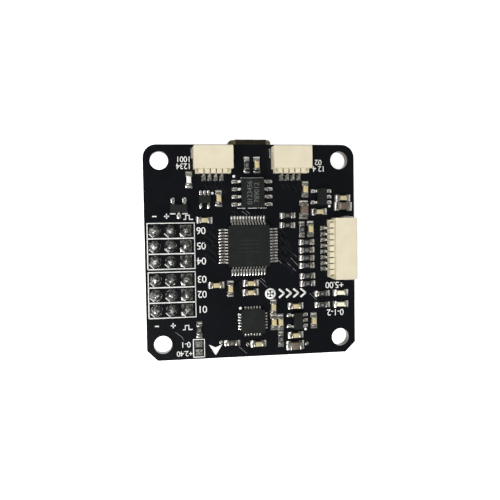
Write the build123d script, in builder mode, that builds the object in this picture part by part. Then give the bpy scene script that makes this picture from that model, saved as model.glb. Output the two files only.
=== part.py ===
"""A flight controller board for a small multirotor: one circuit board and what is soldered to it.

Millimetres, +Z up. The origin is the centre of the four mounting holes on the board's underside.
The USB socket is at the back (+Y), the receiver port at the right (+X) and the servo headers at
the left (-X). The populated side faces up.
"""
from build123d import *
import os

os.makedirs("parts", exist_ok=True)

# ---------------------------------------------------------------- board
BOARD_WIDTH = 35.8
BOARD_DEPTH = 35.8
BOARD_THICKNESS = 1.6
BACK_CORNER_RADIUS = 2.2
FRONT_CORNER_CHAMFER = 1.75
MOUNT_PITCH = 30.5
MOUNT_HOLE_RADIUS = 1.5

# ---------------------------------------------------------------- side-entry ports
PORT_PITCH = 1.0
PORT_END_MARGIN = 1.7
PORT_HEIGHT = 2.95
PORT_DEPTH = 3.75
PORT_WALL = 0.55
PORT_REAR_WALL = 0.9
PORT_EDGE_INSET = 0.4
PORT_STEP_DEPTH = 0.7
PORT_STEP_HEIGHT = 1.75
PORT_STEP_INSET = 0.3
PORT_RECESS_WIDTH = 0.4
PORT_RECESS_DEPTH = 0.6
PORT_RECESS_INSET = 0.65
PORT_MOUTH_CHAMFER = 0.12
CONTACT_WIDTH = 0.32
CONTACT_THICKNESS = 0.25
CONTACT_HEIGHT = 1.3
CONTACT_SETBACK = 1.0
CONTACT_DROP = 3.2
CONTACT_EXIT_HEIGHT = 0.4
CONTACT_SHOULDER = 0.15
CONTACT_SLANT = 0.15
CONTACT_REACH = 1.0
CONTACT_SLOT_WIDTH = 0.2
TAB_THICKNESS = 0.22
TAB_HEIGHT = 1.5
TAB_LENGTH = 1.7
TAB_SETBACK = 0.28
MAIN_PORT_X = -6.5
SECOND_PORT_X = 6.65
RECEIVER_PORT_Y = 0.2
SMALL_PORT_WAYS = 4
RECEIVER_PORT_WAYS = 8

# ---------------------------------------------------------------- servo headers
PIN_PITCH = 2.54
PIN_SIZE = 0.64
PIN_TIP_CHAMFER = 0.15
PIN_LENGTH_BELOW = 6.0
PIN_STUB = 0.9
PIN_HOLE_RADIUS = 0.55
HEADER_HEIGHT = 2.54
HEADER_NOTCH = 0.45
HEADER_COLUMNS = 3
HEADER_ROWS = 3
HEADER_EDGE = 1.7
HEADER_GAP = 0.49
HEADER_MIDDLE_Y = -2.9
JOINT_BASE_RADIUS = 0.95
JOINT_TOP_RADIUS = 0.5
JOINT_HEIGHT = 0.65

# ---------------------------------------------------------------- USB socket
USB_X = 0.25
USB_WIDTH = 7.4
USB_TOP_WIDTH = 5.5
USB_HEIGHT = 3.9
USB_DEPTH = 9.2
USB_OVERHANG = 1.05
USB_SHELL_THICKNESS = 0.35
USB_SHOULDER_START = 0.5
USB_SHOULDER_END = 1.5
USB_SHOULDER_RATIO = 0.7
USB_CORNER_RADIUS = 0.2
USB_BLOCK_DEPTH = 2.2
USB_TONGUE_WIDTH = 3.6
USB_TONGUE_THICKNESS = 0.8
USB_TONGUE_SETBACK = 1.2
USB_CONTACTS = 5
USB_CONTACT_PITCH = 0.65
USB_CONTACT_WIDTH = 0.32
USB_CONTACT_THICKNESS = 0.15
USB_CONTACT_PROUD = 0.05
USB_CONTACT_FOOT = 1.0
USB_LEG_LENGTH = 1.5
USB_LEG_REACH = 0.9
USB_CORNER_CUT = 0.3
USB_SEAM_X = 0.6
USB_SEAM_WIDTH = 0.12

# ---------------------------------------------------------------- chips
CHIP_STANDOFF = 0.1
CHIP_DRAFT = 8
DIMPLE_DEPTH = 0.06

PROCESSOR_PLACE = (-0.65, 0.95)
PROCESSOR_BODY = 7.0
PROCESSOR_HEIGHT = 1.4
PROCESSOR_LEADS_PER_SIDE = 12
PROCESSOR_LEAD_PITCH = 0.5
PROCESSOR_LEAD_WIDTH = 0.22
PROCESSOR_LEAD_REACH = 1.0
PROCESSOR_DIMPLE_RADIUS = 0.45

MEMORY_PLACE = (0.1, 9.8)
MEMORY_WIDTH = 3.9
MEMORY_LENGTH = 4.9
MEMORY_HEIGHT = 1.5
MEMORY_LEADS_PER_SIDE = 4
MEMORY_LEAD_PITCH = 1.27
MEMORY_LEAD_WIDTH = 0.42
MEMORY_LEAD_REACH = 1.05
MEMORY_DIMPLE_RADIUS = 0.3

SENSOR_PLACE = (-0.1, -11.85)
SENSOR_BODY = 4.0
SENSOR_HEIGHT = 0.9
SENSOR_PADS_PER_SIDE = 6
SENSOR_PAD_PITCH = 0.5
SENSOR_PAD_WIDTH = 0.25
SENSOR_PAD_THICKNESS = 0.2
SENSOR_PAD_REACH = 0.3
SENSOR_DIMPLE_RADIUS = 0.2

SMALL_CHIP_LEAD_PITCH = 0.95
SMALL_CHIP_LEAD_WIDTH = 0.4
SMALL_CHIP_LEAD_REACH = 0.6
SMALL_CHIP_LENGTH = 2.9
MAIN_REGULATOR_PLACE = (12.05, 9.05)
SENSOR_REGULATOR_PLACE = (7.65, -12.05)
REGULATOR_WIDTH = 1.6
REGULATOR_HEIGHT = 1.05
TRANSISTOR_PLACE = (-12.2, 7.4)
TRANSISTOR_WIDTH = 1.3
TRANSISTOR_HEIGHT = 0.95

GATE_PLACE = (-7.9, 8.8)
GATE_WIDTH = 1.25
GATE_LENGTH = 2.0
GATE_HEIGHT = 0.85
GATE_LEAD_PITCH = 0.65
GATE_LEAD_WIDTH = 0.25
GATE_LEAD_REACH = 0.45

SMALL_LEAD_THICKNESS = 0.15
BIG_LEAD_THICKNESS = 0.2
LEAD_SHOULDER = 0.12
LEAD_SLANT = 0.12

# ---------------------------------------------------------------- two-terminal parts
SMALL_LENGTH = 1.6
SMALL_WIDTH = 0.8
SMALL_CAP_LENGTH = 0.35
SMALL_CAPACITOR_HEIGHT = 0.8
RESISTOR_HEIGHT = 0.45
RESISTOR_CAP_LENGTH = 0.3
FUSE_HEIGHT = 0.6
LARGE_LENGTH = 2.0
LARGE_WIDTH = 1.25
LARGE_HEIGHT = 1.1
LARGE_CAP_LENGTH = 0.45
CAP_PROUD = 0.03

LIGHT_BASE_HEIGHT = 0.3
LIGHT_LENS_HEIGHT = 0.35
LIGHT_LENS_LENGTH = 1.1
LIGHT_LENS_WIDTH = 0.7
LIGHT_CAP_LENGTH = 0.2
LIGHT_LENS_CHAMFER = 0.06

CRYSTAL_PLACE = (1.5, 1.0)
CRYSTAL_LENGTH = 5.0
CRYSTAL_WIDTH = 3.2
CRYSTAL_BASE_HEIGHT = 0.5
CRYSTAL_LID_HEIGHT = 0.5
CRYSTAL_LID_MARGIN = 0.25
CRYSTAL_LID_CHAMFER = 0.12
LOAD_CAPACITOR_OFFSET = 3.9

BOOT_PAD_WIDTH = 1.15
BOOT_PAD_LENGTH = 1.05
BOOT_PAD_THICKNESS = 0.05
BOOT_PAD_PLACES = ((-9.3, -15.4), (-9.3, -16.75))

# ---------------------------------------------------------------- worked out from the sizes above
LEFT = -BOARD_WIDTH / 2
RIGHT = BOARD_WIDTH / 2
BACK = BOARD_DEPTH / 2
HEADER_X = LEFT + HEADER_EDGE + PIN_PITCH * (HEADER_COLUMNS - 1) / 2
HEADER_WIDTH = PIN_PITCH * HEADER_COLUMNS
HEADER_LENGTH = PIN_PITCH * HEADER_ROWS
HEADER_CENTRE_OFFSET = (HEADER_LENGTH + HEADER_GAP) / 2
HEADER_CENTRES = (
    (HEADER_X, HEADER_MIDDLE_Y + HEADER_CENTRE_OFFSET),
    (HEADER_X, HEADER_MIDDLE_Y - HEADER_CENTRE_OFFSET),
)
PORT_EDGE_Y = BACK - PORT_EDGE_INSET
PORT_EDGE_X = RIGHT - PORT_EDGE_INSET
USB_FRONT_Y = BACK + USB_OVERHANG

ACROSS = 0
ALONG = 90
SMALL_CAPACITOR_PLACES = (
    # beside the USB socket and the memory chip
    (0.95, 14.5, ALONG), (-5.55, 8.95, ALONG),
    # round the processor
    (-8.0, 5.35, ACROSS), (-6.2, -5.55, ACROSS), (-3.85, -6.2, ALONG),
    (-0.35, -5.4, ACROSS), (-0.4, -6.95, ACROSS), (10.1, 3.6, ALONG),
    # round the main regulator
    (9.25, 10.35, ALONG), (11.65, 6.5, ACROSS), (15.85, 8.8, ACROSS),
    # between the motion sensor and its regulator
    (3.45, -9.6, ALONG), (3.5, -12.15, ALONG), (4.65, -12.2, ALONG),
    (7.35, -9.55, ACROSS), (7.3, -14.55, ACROSS), (10.5, -12.15, ALONG),
    (0.8, -15.75, ACROSS),
)
LARGE_CAPACITOR_PLACES = (
    (8.95, 6.9, ALONG), (15.9, 7.4, ACROSS), (7.2, -16.3, ACROSS),
)
RESISTOR_PLACES = (
    (-0.75, 14.5, ALONG), (8.6, 3.55, ALONG), (6.15, 5.95, ACROSS), (6.1, 4.3, ACROSS),
    # the ladder beside the receiver port
    (9.4, 1.35, ACROSS), (9.4, 0.0, ACROSS), (9.4, -1.35, ACROSS), (9.4, -2.65, ACROSS),
    (9.5, -4.45, ACROSS), (9.5, -5.75, ACROSS),
    # one for each light, then the three along the front
    (12.05, -7.55, ACROSS), (12.05, -9.5, ACROSS),
    (-9.2, -12.95, ALONG), (-3.7, -15.45, ACROSS), (4.7, -15.1, ALONG),
)
FUSE_PLACES = ((-10.45, 12.05, ALONG),)
POWER_LIGHT_PLACE = (15.35, -7.5, ACROSS)
STATUS_LIGHT_PLACE = (15.35, -9.5, ACROSS)
LOAD_CAPACITOR_PLACES = tuple(
    (CRYSTAL_PLACE[0] + side * LOAD_CAPACITOR_OFFSET, CRYSTAL_PLACE[1], ALONG) for side in (-1, 1)
)

ON_FLOOR = (Align.CENTER, Align.CENTER, Align.MIN)


def on_board(x, y, turn=0):
    """A place on the board's top, turned about the upright axis."""
    return Location((x, y, BOARD_THICKNESS), (0, 0, turn))


def under_board(x, y, turn=0):
    """A place on the board's underside, for a piece that hangs from it upside down."""
    return Location((x, y, 0), (180, 0, turn))


def row_offsets(count, pitch):
    """Offsets of a centred row."""
    return [(index - (count - 1) / 2) * pitch for index in range(count)]


# ---------------------------------------------------------------- shared shapes
def moulded_body(width, length, height, band):
    """A chip's moulded body: tapered halves that meet in a straight band at the leads."""
    half = (height - band) / 2
    with BuildPart() as body:
        with BuildSketch(Plane.XY.offset(CHIP_STANDOFF + half)):
            Rectangle(width, length)
        extrude(amount=band)
        with BuildSketch(Plane.XY.offset(CHIP_STANDOFF + half + band)):
            Rectangle(width, length)
        extrude(amount=half, taper=CHIP_DRAFT)
        with BuildSketch(Plane.XY.offset(CHIP_STANDOFF + half)):
            Rectangle(width, length)
        extrude(amount=-half, taper=CHIP_DRAFT)
    return body.part


def marked_body(width, length, height, band, dimple_radius):
    """A moulded body with the round dimple that marks its first lead."""
    inset = dimple_radius + (height - band) / 2
    with BuildPart() as body:
        add(moulded_body(width, length, height, band))
        with Locations((inset - width / 2, length / 2 - inset, CHIP_STANDOFF + height)):
            Cylinder(dimple_radius, 2 * DIMPLE_DEPTH, mode=Mode.SUBTRACT)
    return body.part


def gull_lead(width, thickness, rise, reach):
    """A bent lead that leaves the body along +X, steps down and ends in a foot on the board."""
    bend = LEAD_SHOULDER + thickness
    with BuildPart() as lead:
        with BuildSketch(Plane.XZ):
            with BuildLine():
                Polyline(
                    (0, rise + thickness),
                    (bend, rise + thickness),
                    (bend + LEAD_SLANT, thickness),
                    (reach, thickness),
                    (reach, 0),
                    (LEAD_SHOULDER + LEAD_SLANT, 0),
                    (LEAD_SHOULDER, rise),
                    (0, rise),
                    close=True,
                )
            make_face()
        extrude(amount=width / 2, both=True)
    return lead.part


def lead_row(start, offsets, turn):
    """Places of one row of leads at a body's side."""
    return [Location((0, 0, 0), (0, 0, turn)) * Location((start, offset, 0)) for offset in offsets]


def band_rise(height, thickness):
    """How far a lead's underside stands above the board where it leaves the body."""
    return CHIP_STANDOFF + (height - thickness) / 2


# ---------------------------------------------------------------- circuit board
with BuildPart() as circuit_board:
    with BuildSketch(Plane.XY):
        Rectangle(BOARD_WIDTH, BOARD_DEPTH)
        fillet(vertices().group_by(Axis.Y)[-1], BACK_CORNER_RADIUS)
        chamfer(vertices().group_by(Axis.Y)[0], FRONT_CORNER_CHAMFER)
        with GridLocations(MOUNT_PITCH, MOUNT_PITCH, 2, 2):
            Circle(MOUNT_HOLE_RADIUS, mode=Mode.SUBTRACT)
        for centre in HEADER_CENTRES:
            with Locations(centre):
                with GridLocations(PIN_PITCH, PIN_PITCH, HEADER_COLUMNS, HEADER_ROWS):
                    Circle(PIN_HOLE_RADIUS, mode=Mode.SUBTRACT)
    extrude(amount=BOARD_THICKNESS)


# ---------------------------------------------------------------- side-entry ports
def port_width(ways):
    """Outer width of a housing."""
    return (ways - 1) * PORT_PITCH + 2 * PORT_END_MARGIN


def port_contact():
    """One contact: a pin in the mouth that drops in the rear wall and leaves the step as a foot."""
    rear = -(PORT_DEPTH + PORT_STEP_DEPTH)
    top = CONTACT_HEIGHT + CONTACT_THICKNESS
    exit_top = CONTACT_EXIT_HEIGHT + CONTACT_THICKNESS
    bend = rear - CONTACT_SHOULDER
    with BuildPart() as contact:
        with BuildSketch(Plane.YZ):
            with BuildLine():
                Polyline(
                    (-CONTACT_SETBACK, top),
                    (-CONTACT_DROP - CONTACT_THICKNESS, top),
                    (-CONTACT_DROP - CONTACT_THICKNESS, exit_top),
                    (bend - CONTACT_THICKNESS, exit_top),
                    (bend - CONTACT_THICKNESS - CONTACT_SLANT, CONTACT_THICKNESS),
                    (rear - CONTACT_REACH, CONTACT_THICKNESS),
                    (rear - CONTACT_REACH, 0),
                    (bend - CONTACT_SLANT, 0),
                    (bend, CONTACT_EXIT_HEIGHT),
                    (-CONTACT_DROP, CONTACT_EXIT_HEIGHT),
                    (-CONTACT_DROP, CONTACT_HEIGHT),
                    (-CONTACT_SETBACK, CONTACT_HEIGHT),
                    close=True,
                )
            make_face()
        extrude(amount=CONTACT_WIDTH / 2, both=True)
    return contact.part


def port_housing(ways):
    """A housing whose mouth faces +Y at Y = 0, with a slotted step behind it."""
    width = port_width(ways)
    step_width = width - 2 * PORT_STEP_INSET
    step_middle_y = -PORT_DEPTH - PORT_STEP_DEPTH / 2
    contact = port_contact()
    with BuildPart() as housing:
        with Locations((0, -PORT_DEPTH / 2, 0)):
            Box(width, PORT_DEPTH, PORT_HEIGHT, align=ON_FLOOR)
        with Locations((0, step_middle_y, 0)):
            Box(step_width, PORT_STEP_DEPTH, PORT_STEP_HEIGHT, align=ON_FLOOR)
        mouth_depth = PORT_DEPTH - PORT_REAR_WALL
        with Locations((0, -mouth_depth / 2, PORT_WALL)):
            Box(
                width - 2 * PORT_WALL, mouth_depth, PORT_HEIGHT - 2 * PORT_WALL,
                align=ON_FLOOR, mode=Mode.SUBTRACT,
            )
        for side in (-1, 1):
            with Locations((side * (width / 2 - PORT_RECESS_INSET), step_middle_y, PORT_STEP_HEIGHT)):
                Box(
                    PORT_RECESS_WIDTH, PORT_STEP_DEPTH, 2 * PORT_RECESS_DEPTH,
                    mode=Mode.SUBTRACT,
                )
        slot_base = CONTACT_EXIT_HEIGHT + CONTACT_THICKNESS
        for offset in row_offsets(ways, PORT_PITCH):
            with Locations((offset, step_middle_y, slot_base)):
                Box(
                    CONTACT_SLOT_WIDTH, PORT_STEP_DEPTH, PORT_STEP_HEIGHT - slot_base,
                    align=ON_FLOOR, mode=Mode.SUBTRACT,
                )
            with Locations(Location((offset, 0, 0))):
                add(contact, mode=Mode.SUBTRACT)
        chamfer(housing.faces().sort_by(Axis.Y)[-1].outer_wire().edges(), PORT_MOUTH_CHAMFER)
    return housing.part


def port_tab():
    """A solder tab at a housing's right side: a plate that stands on the board against the wall."""
    with BuildPart() as tab:
        with Locations((TAB_THICKNESS / 2, 0, 0)):
            Box(TAB_THICKNESS, TAB_LENGTH, TAB_HEIGHT, align=ON_FLOOR)
    return tab.part


PORTS = {
    "main_port": (SMALL_PORT_WAYS, on_board(MAIN_PORT_X, PORT_EDGE_Y)),
    "second_port": (SMALL_PORT_WAYS, on_board(SECOND_PORT_X, PORT_EDGE_Y)),
    "receiver_port": (RECEIVER_PORT_WAYS, on_board(PORT_EDGE_X, RECEIVER_PORT_Y, -90)),
}
port_nodes = {}
for port_name, (port_ways, port_place) in PORTS.items():
    with BuildPart() as port_housing_part:
        with Locations(port_place):
            add(port_housing(port_ways))
    with BuildPart() as port_contacts_part:
        for contact_offset in row_offsets(port_ways, PORT_PITCH):
            with Locations(port_place * Location((contact_offset, 0, 0))):
                add(port_contact())
    with BuildPart() as port_tabs_part:
        tab_y = -TAB_SETBACK - TAB_LENGTH / 2
        wall_x = port_width(port_ways) / 2
        with Locations(port_place * Location((wall_x, tab_y, 0))):
            add(port_tab())
        with Locations(port_place * Location((-wall_x, tab_y, 0), (0, 0, 180))):
            add(port_tab())
    port_nodes[port_name + "_housing"] = port_housing_part
    port_nodes[port_name + "_contacts"] = port_contacts_part
    port_nodes[port_name + "_solder_tabs"] = port_tabs_part

# ---------------------------------------------------------------- servo headers
pin_top = BOARD_THICKNESS + PIN_STUB
pin_length = pin_top + HEADER_HEIGHT + PIN_LENGTH_BELOW
with BuildPart() as servo_header_pins:
    for centre in HEADER_CENTRES:
        with Locations(Location((*centre, pin_top - pin_length))):
            with GridLocations(PIN_PITCH, PIN_PITCH, HEADER_COLUMNS, HEADER_ROWS):
                Box(PIN_SIZE, PIN_SIZE, pin_length, align=ON_FLOOR)
    chamfer(edges().group_by(Axis.Z)[0], PIN_TIP_CHAMFER)
    chamfer(edges().group_by(Axis.Z)[-1], PIN_TIP_CHAMFER)

with BuildPart() as servo_header_bases:
    for centre in HEADER_CENTRES:
        with BuildSketch(Plane.XY):
            with Locations(centre):
                Rectangle(HEADER_WIDTH, HEADER_LENGTH)
            for step in range(1, HEADER_COLUMNS):
                notch_x = centre[0] - HEADER_WIDTH / 2 + step * PIN_PITCH
                for side in (-1, 1):
                    with Locations((notch_x, centre[1] + side * HEADER_LENGTH / 2)):
                        Rectangle(HEADER_NOTCH, HEADER_NOTCH, rotation=45, mode=Mode.SUBTRACT)
            for step in range(1, HEADER_ROWS):
                notch_y = centre[1] - HEADER_LENGTH / 2 + step * PIN_PITCH
                for side in (-1, 1):
                    with Locations((centre[0] + side * HEADER_WIDTH / 2, notch_y)):
                        Rectangle(HEADER_NOTCH, HEADER_NOTCH, rotation=45, mode=Mode.SUBTRACT)
            with Locations(centre):
                with GridLocations(PIN_PITCH, PIN_PITCH, HEADER_COLUMNS, HEADER_ROWS):
                    Rectangle(PIN_SIZE, PIN_SIZE, mode=Mode.SUBTRACT)
        extrude(amount=-HEADER_HEIGHT)

with BuildPart() as servo_header_solder:
    for centre in HEADER_CENTRES:
        with Locations(Location((*centre, 0))):
            with GridLocations(PIN_PITCH, PIN_PITCH, HEADER_COLUMNS, HEADER_ROWS):
                Cylinder(PIN_HOLE_RADIUS, BOARD_THICKNESS, align=ON_FLOOR)
        with Locations(Location((*centre, BOARD_THICKNESS))):
            with GridLocations(PIN_PITCH, PIN_PITCH, HEADER_COLUMNS, HEADER_ROWS):
                Cone(JOINT_BASE_RADIUS, JOINT_TOP_RADIUS, JOINT_HEIGHT, align=ON_FLOOR)
    add(servo_header_pins.part, mode=Mode.SUBTRACT)


# ---------------------------------------------------------------- USB socket
def usb_section(inset):
    """The socket's outline as seen along Y: narrow at the board, wide below its shoulders."""
    half_top = USB_TOP_WIDTH / 2 - inset * USB_SHOULDER_RATIO
    half_bottom = USB_WIDTH / 2 - inset
    shoulder_start = -USB_SHOULDER_START - inset * USB_SHOULDER_RATIO
    shoulder_end = -USB_SHOULDER_END - inset * USB_SHOULDER_RATIO
    with BuildSketch() as outline:
        with BuildLine():
            Polyline(
                (-half_top, -inset),
                (-half_top, shoulder_start),
                (-half_bottom, shoulder_end),
                (-half_bottom, inset - USB_HEIGHT),
                (half_bottom, inset - USB_HEIGHT),
                (half_bottom, shoulder_end),
                (half_top, shoulder_start),
                (half_top, -inset),
                close=True,
            )
        make_face()
        fillet(outline.vertices(), USB_CORNER_RADIUS)
    return outline.sketch


USB_MOUTH = Plane((USB_X, USB_FRONT_Y, 0), x_dir=(1, 0, 0), z_dir=(0, -1, 0))
usb_rear_y = USB_FRONT_Y - USB_DEPTH
usb_tongue_low = -(USB_HEIGHT + USB_TONGUE_THICKNESS) / 2
usb_tongue_front_y = USB_FRONT_Y - USB_TONGUE_SETBACK

with BuildPart() as usb_shell:
    with BuildSketch(USB_MOUTH):
        add(usb_section(0))
    extrude(amount=USB_DEPTH)
    with BuildSketch(USB_MOUTH):
        add(usb_section(USB_SHELL_THICKNESS))
    extrude(amount=USB_DEPTH, mode=Mode.SUBTRACT)
    with Locations((USB_X + USB_SEAM_X, USB_FRONT_Y - USB_DEPTH / 2, 0)):
        Box(USB_SEAM_WIDTH, USB_DEPTH, USB_SHELL_THICKNESS, mode=Mode.SUBTRACT)
    with BuildSketch(Plane.XY):
        for side in (-1, 1):
            corner_x = USB_X + side * USB_WIDTH / 2
            Polygon(
                (corner_x, USB_FRONT_Y),
                (corner_x - side * USB_CORNER_CUT, USB_FRONT_Y),
                (corner_x, USB_FRONT_Y - USB_CORNER_CUT),
                align=None,
            )
    extrude(amount=-USB_HEIGHT, mode=Mode.SUBTRACT)
    leg_width = (USB_WIDTH - USB_TOP_WIDTH) / 2 + USB_LEG_REACH
    for side in (-1, 1):
        leg_x = USB_X + side * (USB_TOP_WIDTH + leg_width) / 2
        for leg_y in (BACK - USB_LEG_LENGTH, usb_rear_y + USB_LEG_LENGTH):
            with Locations((leg_x, leg_y, -USB_SHELL_THICKNESS / 2)):
                Box(leg_width, USB_LEG_LENGTH, USB_SHELL_THICKNESS)

with BuildPart() as usb_contacts:
    run_low = usb_tongue_low - USB_CONTACT_PROUD
    run_high = run_low + USB_CONTACT_THICKNESS
    foot_end_y = usb_rear_y - USB_CONTACT_FOOT
    riser_y = usb_rear_y - USB_CONTACT_THICKNESS
    for contact_x in row_offsets(USB_CONTACTS, USB_CONTACT_PITCH):
        with BuildSketch(Plane.YZ.offset(USB_X + contact_x)):
            with BuildLine():
                Polyline(
                    (usb_tongue_front_y - USB_TONGUE_SETBACK, run_high),
                    (usb_rear_y, run_high),
                    (usb_rear_y, -USB_CONTACT_THICKNESS),
                    (usb_rear_y, 0),
                    (foot_end_y, 0),
                    (foot_end_y, -USB_CONTACT_THICKNESS),
                    (riser_y, -USB_CONTACT_THICKNESS),
                    (riser_y, run_low),
                    (usb_tongue_front_y - USB_TONGUE_SETBACK, run_low),
                    close=True,
                )
            make_face()
        extrude(amount=USB_CONTACT_WIDTH / 2, both=True)

with BuildPart() as usb_insulator:
    with BuildSketch(USB_MOUTH.offset(USB_DEPTH - USB_BLOCK_DEPTH)):
        add(usb_section(USB_SHELL_THICKNESS))
    extrude(amount=USB_BLOCK_DEPTH)
    with Locations((USB_X, usb_tongue_front_y, usb_tongue_low)):
        Box(
            USB_TONGUE_WIDTH,
            USB_DEPTH - USB_BLOCK_DEPTH - USB_TONGUE_SETBACK,
            USB_TONGUE_THICKNESS,
            align=(Align.CENTER, Align.MAX, Align.MIN),
        )
    add(usb_contacts.part, mode=Mode.SUBTRACT)

# ---------------------------------------------------------------- processor
processor_rise = band_rise(PROCESSOR_HEIGHT, SMALL_LEAD_THICKNESS)
processor_place = on_board(*PROCESSOR_PLACE)
with BuildPart() as processor_body:
    with Locations(processor_place):
        add(marked_body(
            PROCESSOR_BODY, PROCESSOR_BODY, PROCESSOR_HEIGHT,
            SMALL_LEAD_THICKNESS, PROCESSOR_DIMPLE_RADIUS,
        ))

with BuildPart() as processor_leads:
    processor_lead = gull_lead(
        PROCESSOR_LEAD_WIDTH, SMALL_LEAD_THICKNESS, processor_rise, PROCESSOR_LEAD_REACH
    )
    processor_offsets = row_offsets(PROCESSOR_LEADS_PER_SIDE, PROCESSOR_LEAD_PITCH)
    for turn in (0, 90, 180, 270):
        for place in lead_row(PROCESSOR_BODY / 2, processor_offsets, turn):
            with Locations(processor_place * place):
                add(processor_lead)

# ---------------------------------------------------------------- memory chip
memory_rise = band_rise(MEMORY_HEIGHT, BIG_LEAD_THICKNESS)
memory_place = on_board(*MEMORY_PLACE)
with BuildPart() as memory_body:
    with Locations(memory_place):
        add(marked_body(
            MEMORY_WIDTH, MEMORY_LENGTH, MEMORY_HEIGHT, BIG_LEAD_THICKNESS, MEMORY_DIMPLE_RADIUS
        ))

with BuildPart() as memory_leads:
    memory_lead = gull_lead(
        MEMORY_LEAD_WIDTH, BIG_LEAD_THICKNESS, memory_rise, MEMORY_LEAD_REACH
    )
    memory_offsets = row_offsets(MEMORY_LEADS_PER_SIDE, MEMORY_LEAD_PITCH)
    for turn in (0, 180):
        for place in lead_row(MEMORY_WIDTH / 2, memory_offsets, turn):
            with Locations(memory_place * place):
                add(memory_lead)

# ---------------------------------------------------------------- motion sensor
sensor_place = on_board(*SENSOR_PLACE)
with BuildPart() as motion_sensor_pads:
    pad_length = SENSOR_PAD_REACH * 2
    for turn in (0, 90, 180, 270):
        pad_start = SENSOR_BODY / 2 - SENSOR_PAD_REACH
        for place in lead_row(pad_start, row_offsets(SENSOR_PADS_PER_SIDE, SENSOR_PAD_PITCH), turn):
            with Locations(sensor_place * place):
                Box(
                    pad_length, SENSOR_PAD_WIDTH, SENSOR_PAD_THICKNESS,
                    align=(Align.MIN, Align.CENTER, Align.MIN),
                )

with BuildPart() as motion_sensor_body:
    with Locations(sensor_place):
        Box(SENSOR_BODY, SENSOR_BODY, SENSOR_HEIGHT, align=ON_FLOOR)
    dimple_inset = 2 * SENSOR_DIMPLE_RADIUS - SENSOR_BODY / 2
    with Locations(sensor_place * Location((dimple_inset, -dimple_inset, SENSOR_HEIGHT))):
        Cylinder(SENSOR_DIMPLE_RADIUS, 2 * DIMPLE_DEPTH, mode=Mode.SUBTRACT)
    add(motion_sensor_pads.part, mode=Mode.SUBTRACT)


# ---------------------------------------------------------------- small chips
PAIR = (-SMALL_CHIP_LEAD_PITCH, SMALL_CHIP_LEAD_PITCH)
TRIPLE = (-SMALL_CHIP_LEAD_PITCH, 0, SMALL_CHIP_LEAD_PITCH)
GATE_PAIR = (-GATE_LEAD_PITCH, GATE_LEAD_PITCH)
GATE_TRIPLE = (-GATE_LEAD_PITCH, 0, GATE_LEAD_PITCH)
SMALL_CHIPS = {
    "main_regulator": (
        on_board(*MAIN_REGULATOR_PLACE), REGULATOR_WIDTH, SMALL_CHIP_LENGTH, REGULATOR_HEIGHT,
        SMALL_CHIP_LEAD_WIDTH, SMALL_CHIP_LEAD_REACH, {0: TRIPLE, 180: PAIR},
    ),
    "sensor_regulator": (
        on_board(*SENSOR_REGULATOR_PLACE), REGULATOR_WIDTH, SMALL_CHIP_LENGTH, REGULATOR_HEIGHT,
        SMALL_CHIP_LEAD_WIDTH, SMALL_CHIP_LEAD_REACH, {0: TRIPLE, 180: PAIR},
    ),
    "transistor": (
        on_board(*TRANSISTOR_PLACE, 90), TRANSISTOR_WIDTH, SMALL_CHIP_LENGTH, TRANSISTOR_HEIGHT,
        SMALL_CHIP_LEAD_WIDTH, SMALL_CHIP_LEAD_REACH, {0: PAIR, 180: (0,)},
    ),
    "logic_gate": (
        on_board(*GATE_PLACE, 90), GATE_WIDTH, GATE_LENGTH, GATE_HEIGHT,
        GATE_LEAD_WIDTH, GATE_LEAD_REACH, {0: GATE_TRIPLE, 180: GATE_PAIR},
    ),
}
small_chip_nodes = {}
for chip_name, chip in SMALL_CHIPS.items():
    chip_place, chip_width, chip_length, chip_height, lead_width, lead_reach, lead_sides = chip
    chip_rise = band_rise(chip_height, SMALL_LEAD_THICKNESS)
    with BuildPart() as chip_body_part:
        with Locations(chip_place):
            add(moulded_body(chip_width, chip_length, chip_height, SMALL_LEAD_THICKNESS))
    with BuildPart() as chip_leads_part:
        chip_lead = gull_lead(lead_width, SMALL_LEAD_THICKNESS, chip_rise, lead_reach)
        for turn, offsets in lead_sides.items():
            for place in lead_row(chip_width / 2, offsets, turn):
                with Locations(chip_place * place):
                    add(chip_lead)
    small_chip_nodes[chip_name + "_body"] = chip_body_part
    small_chip_nodes[chip_name + "_leads"] = chip_leads_part


# ---------------------------------------------------------------- two-terminal parts
def terminal_pair(places, size, cap_length):
    """Ceramic middles and metal ends of like two-terminal parts, as two nodes."""
    length, width, height = size
    with BuildPart() as middles:
        for place in places:
            with Locations(place * Location((0, 0, CAP_PROUD))):
                Box(
                    length - 2 * cap_length, width - 2 * CAP_PROUD, height - 2 * CAP_PROUD,
                    align=ON_FLOOR,
                )
    with BuildPart() as ends:
        for place in places:
            for side in (-1, 1):
                with Locations(place * Location((side * (length - cap_length) / 2, 0, 0))):
                    Box(cap_length, width, height, align=ON_FLOOR)
    return middles, ends


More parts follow.
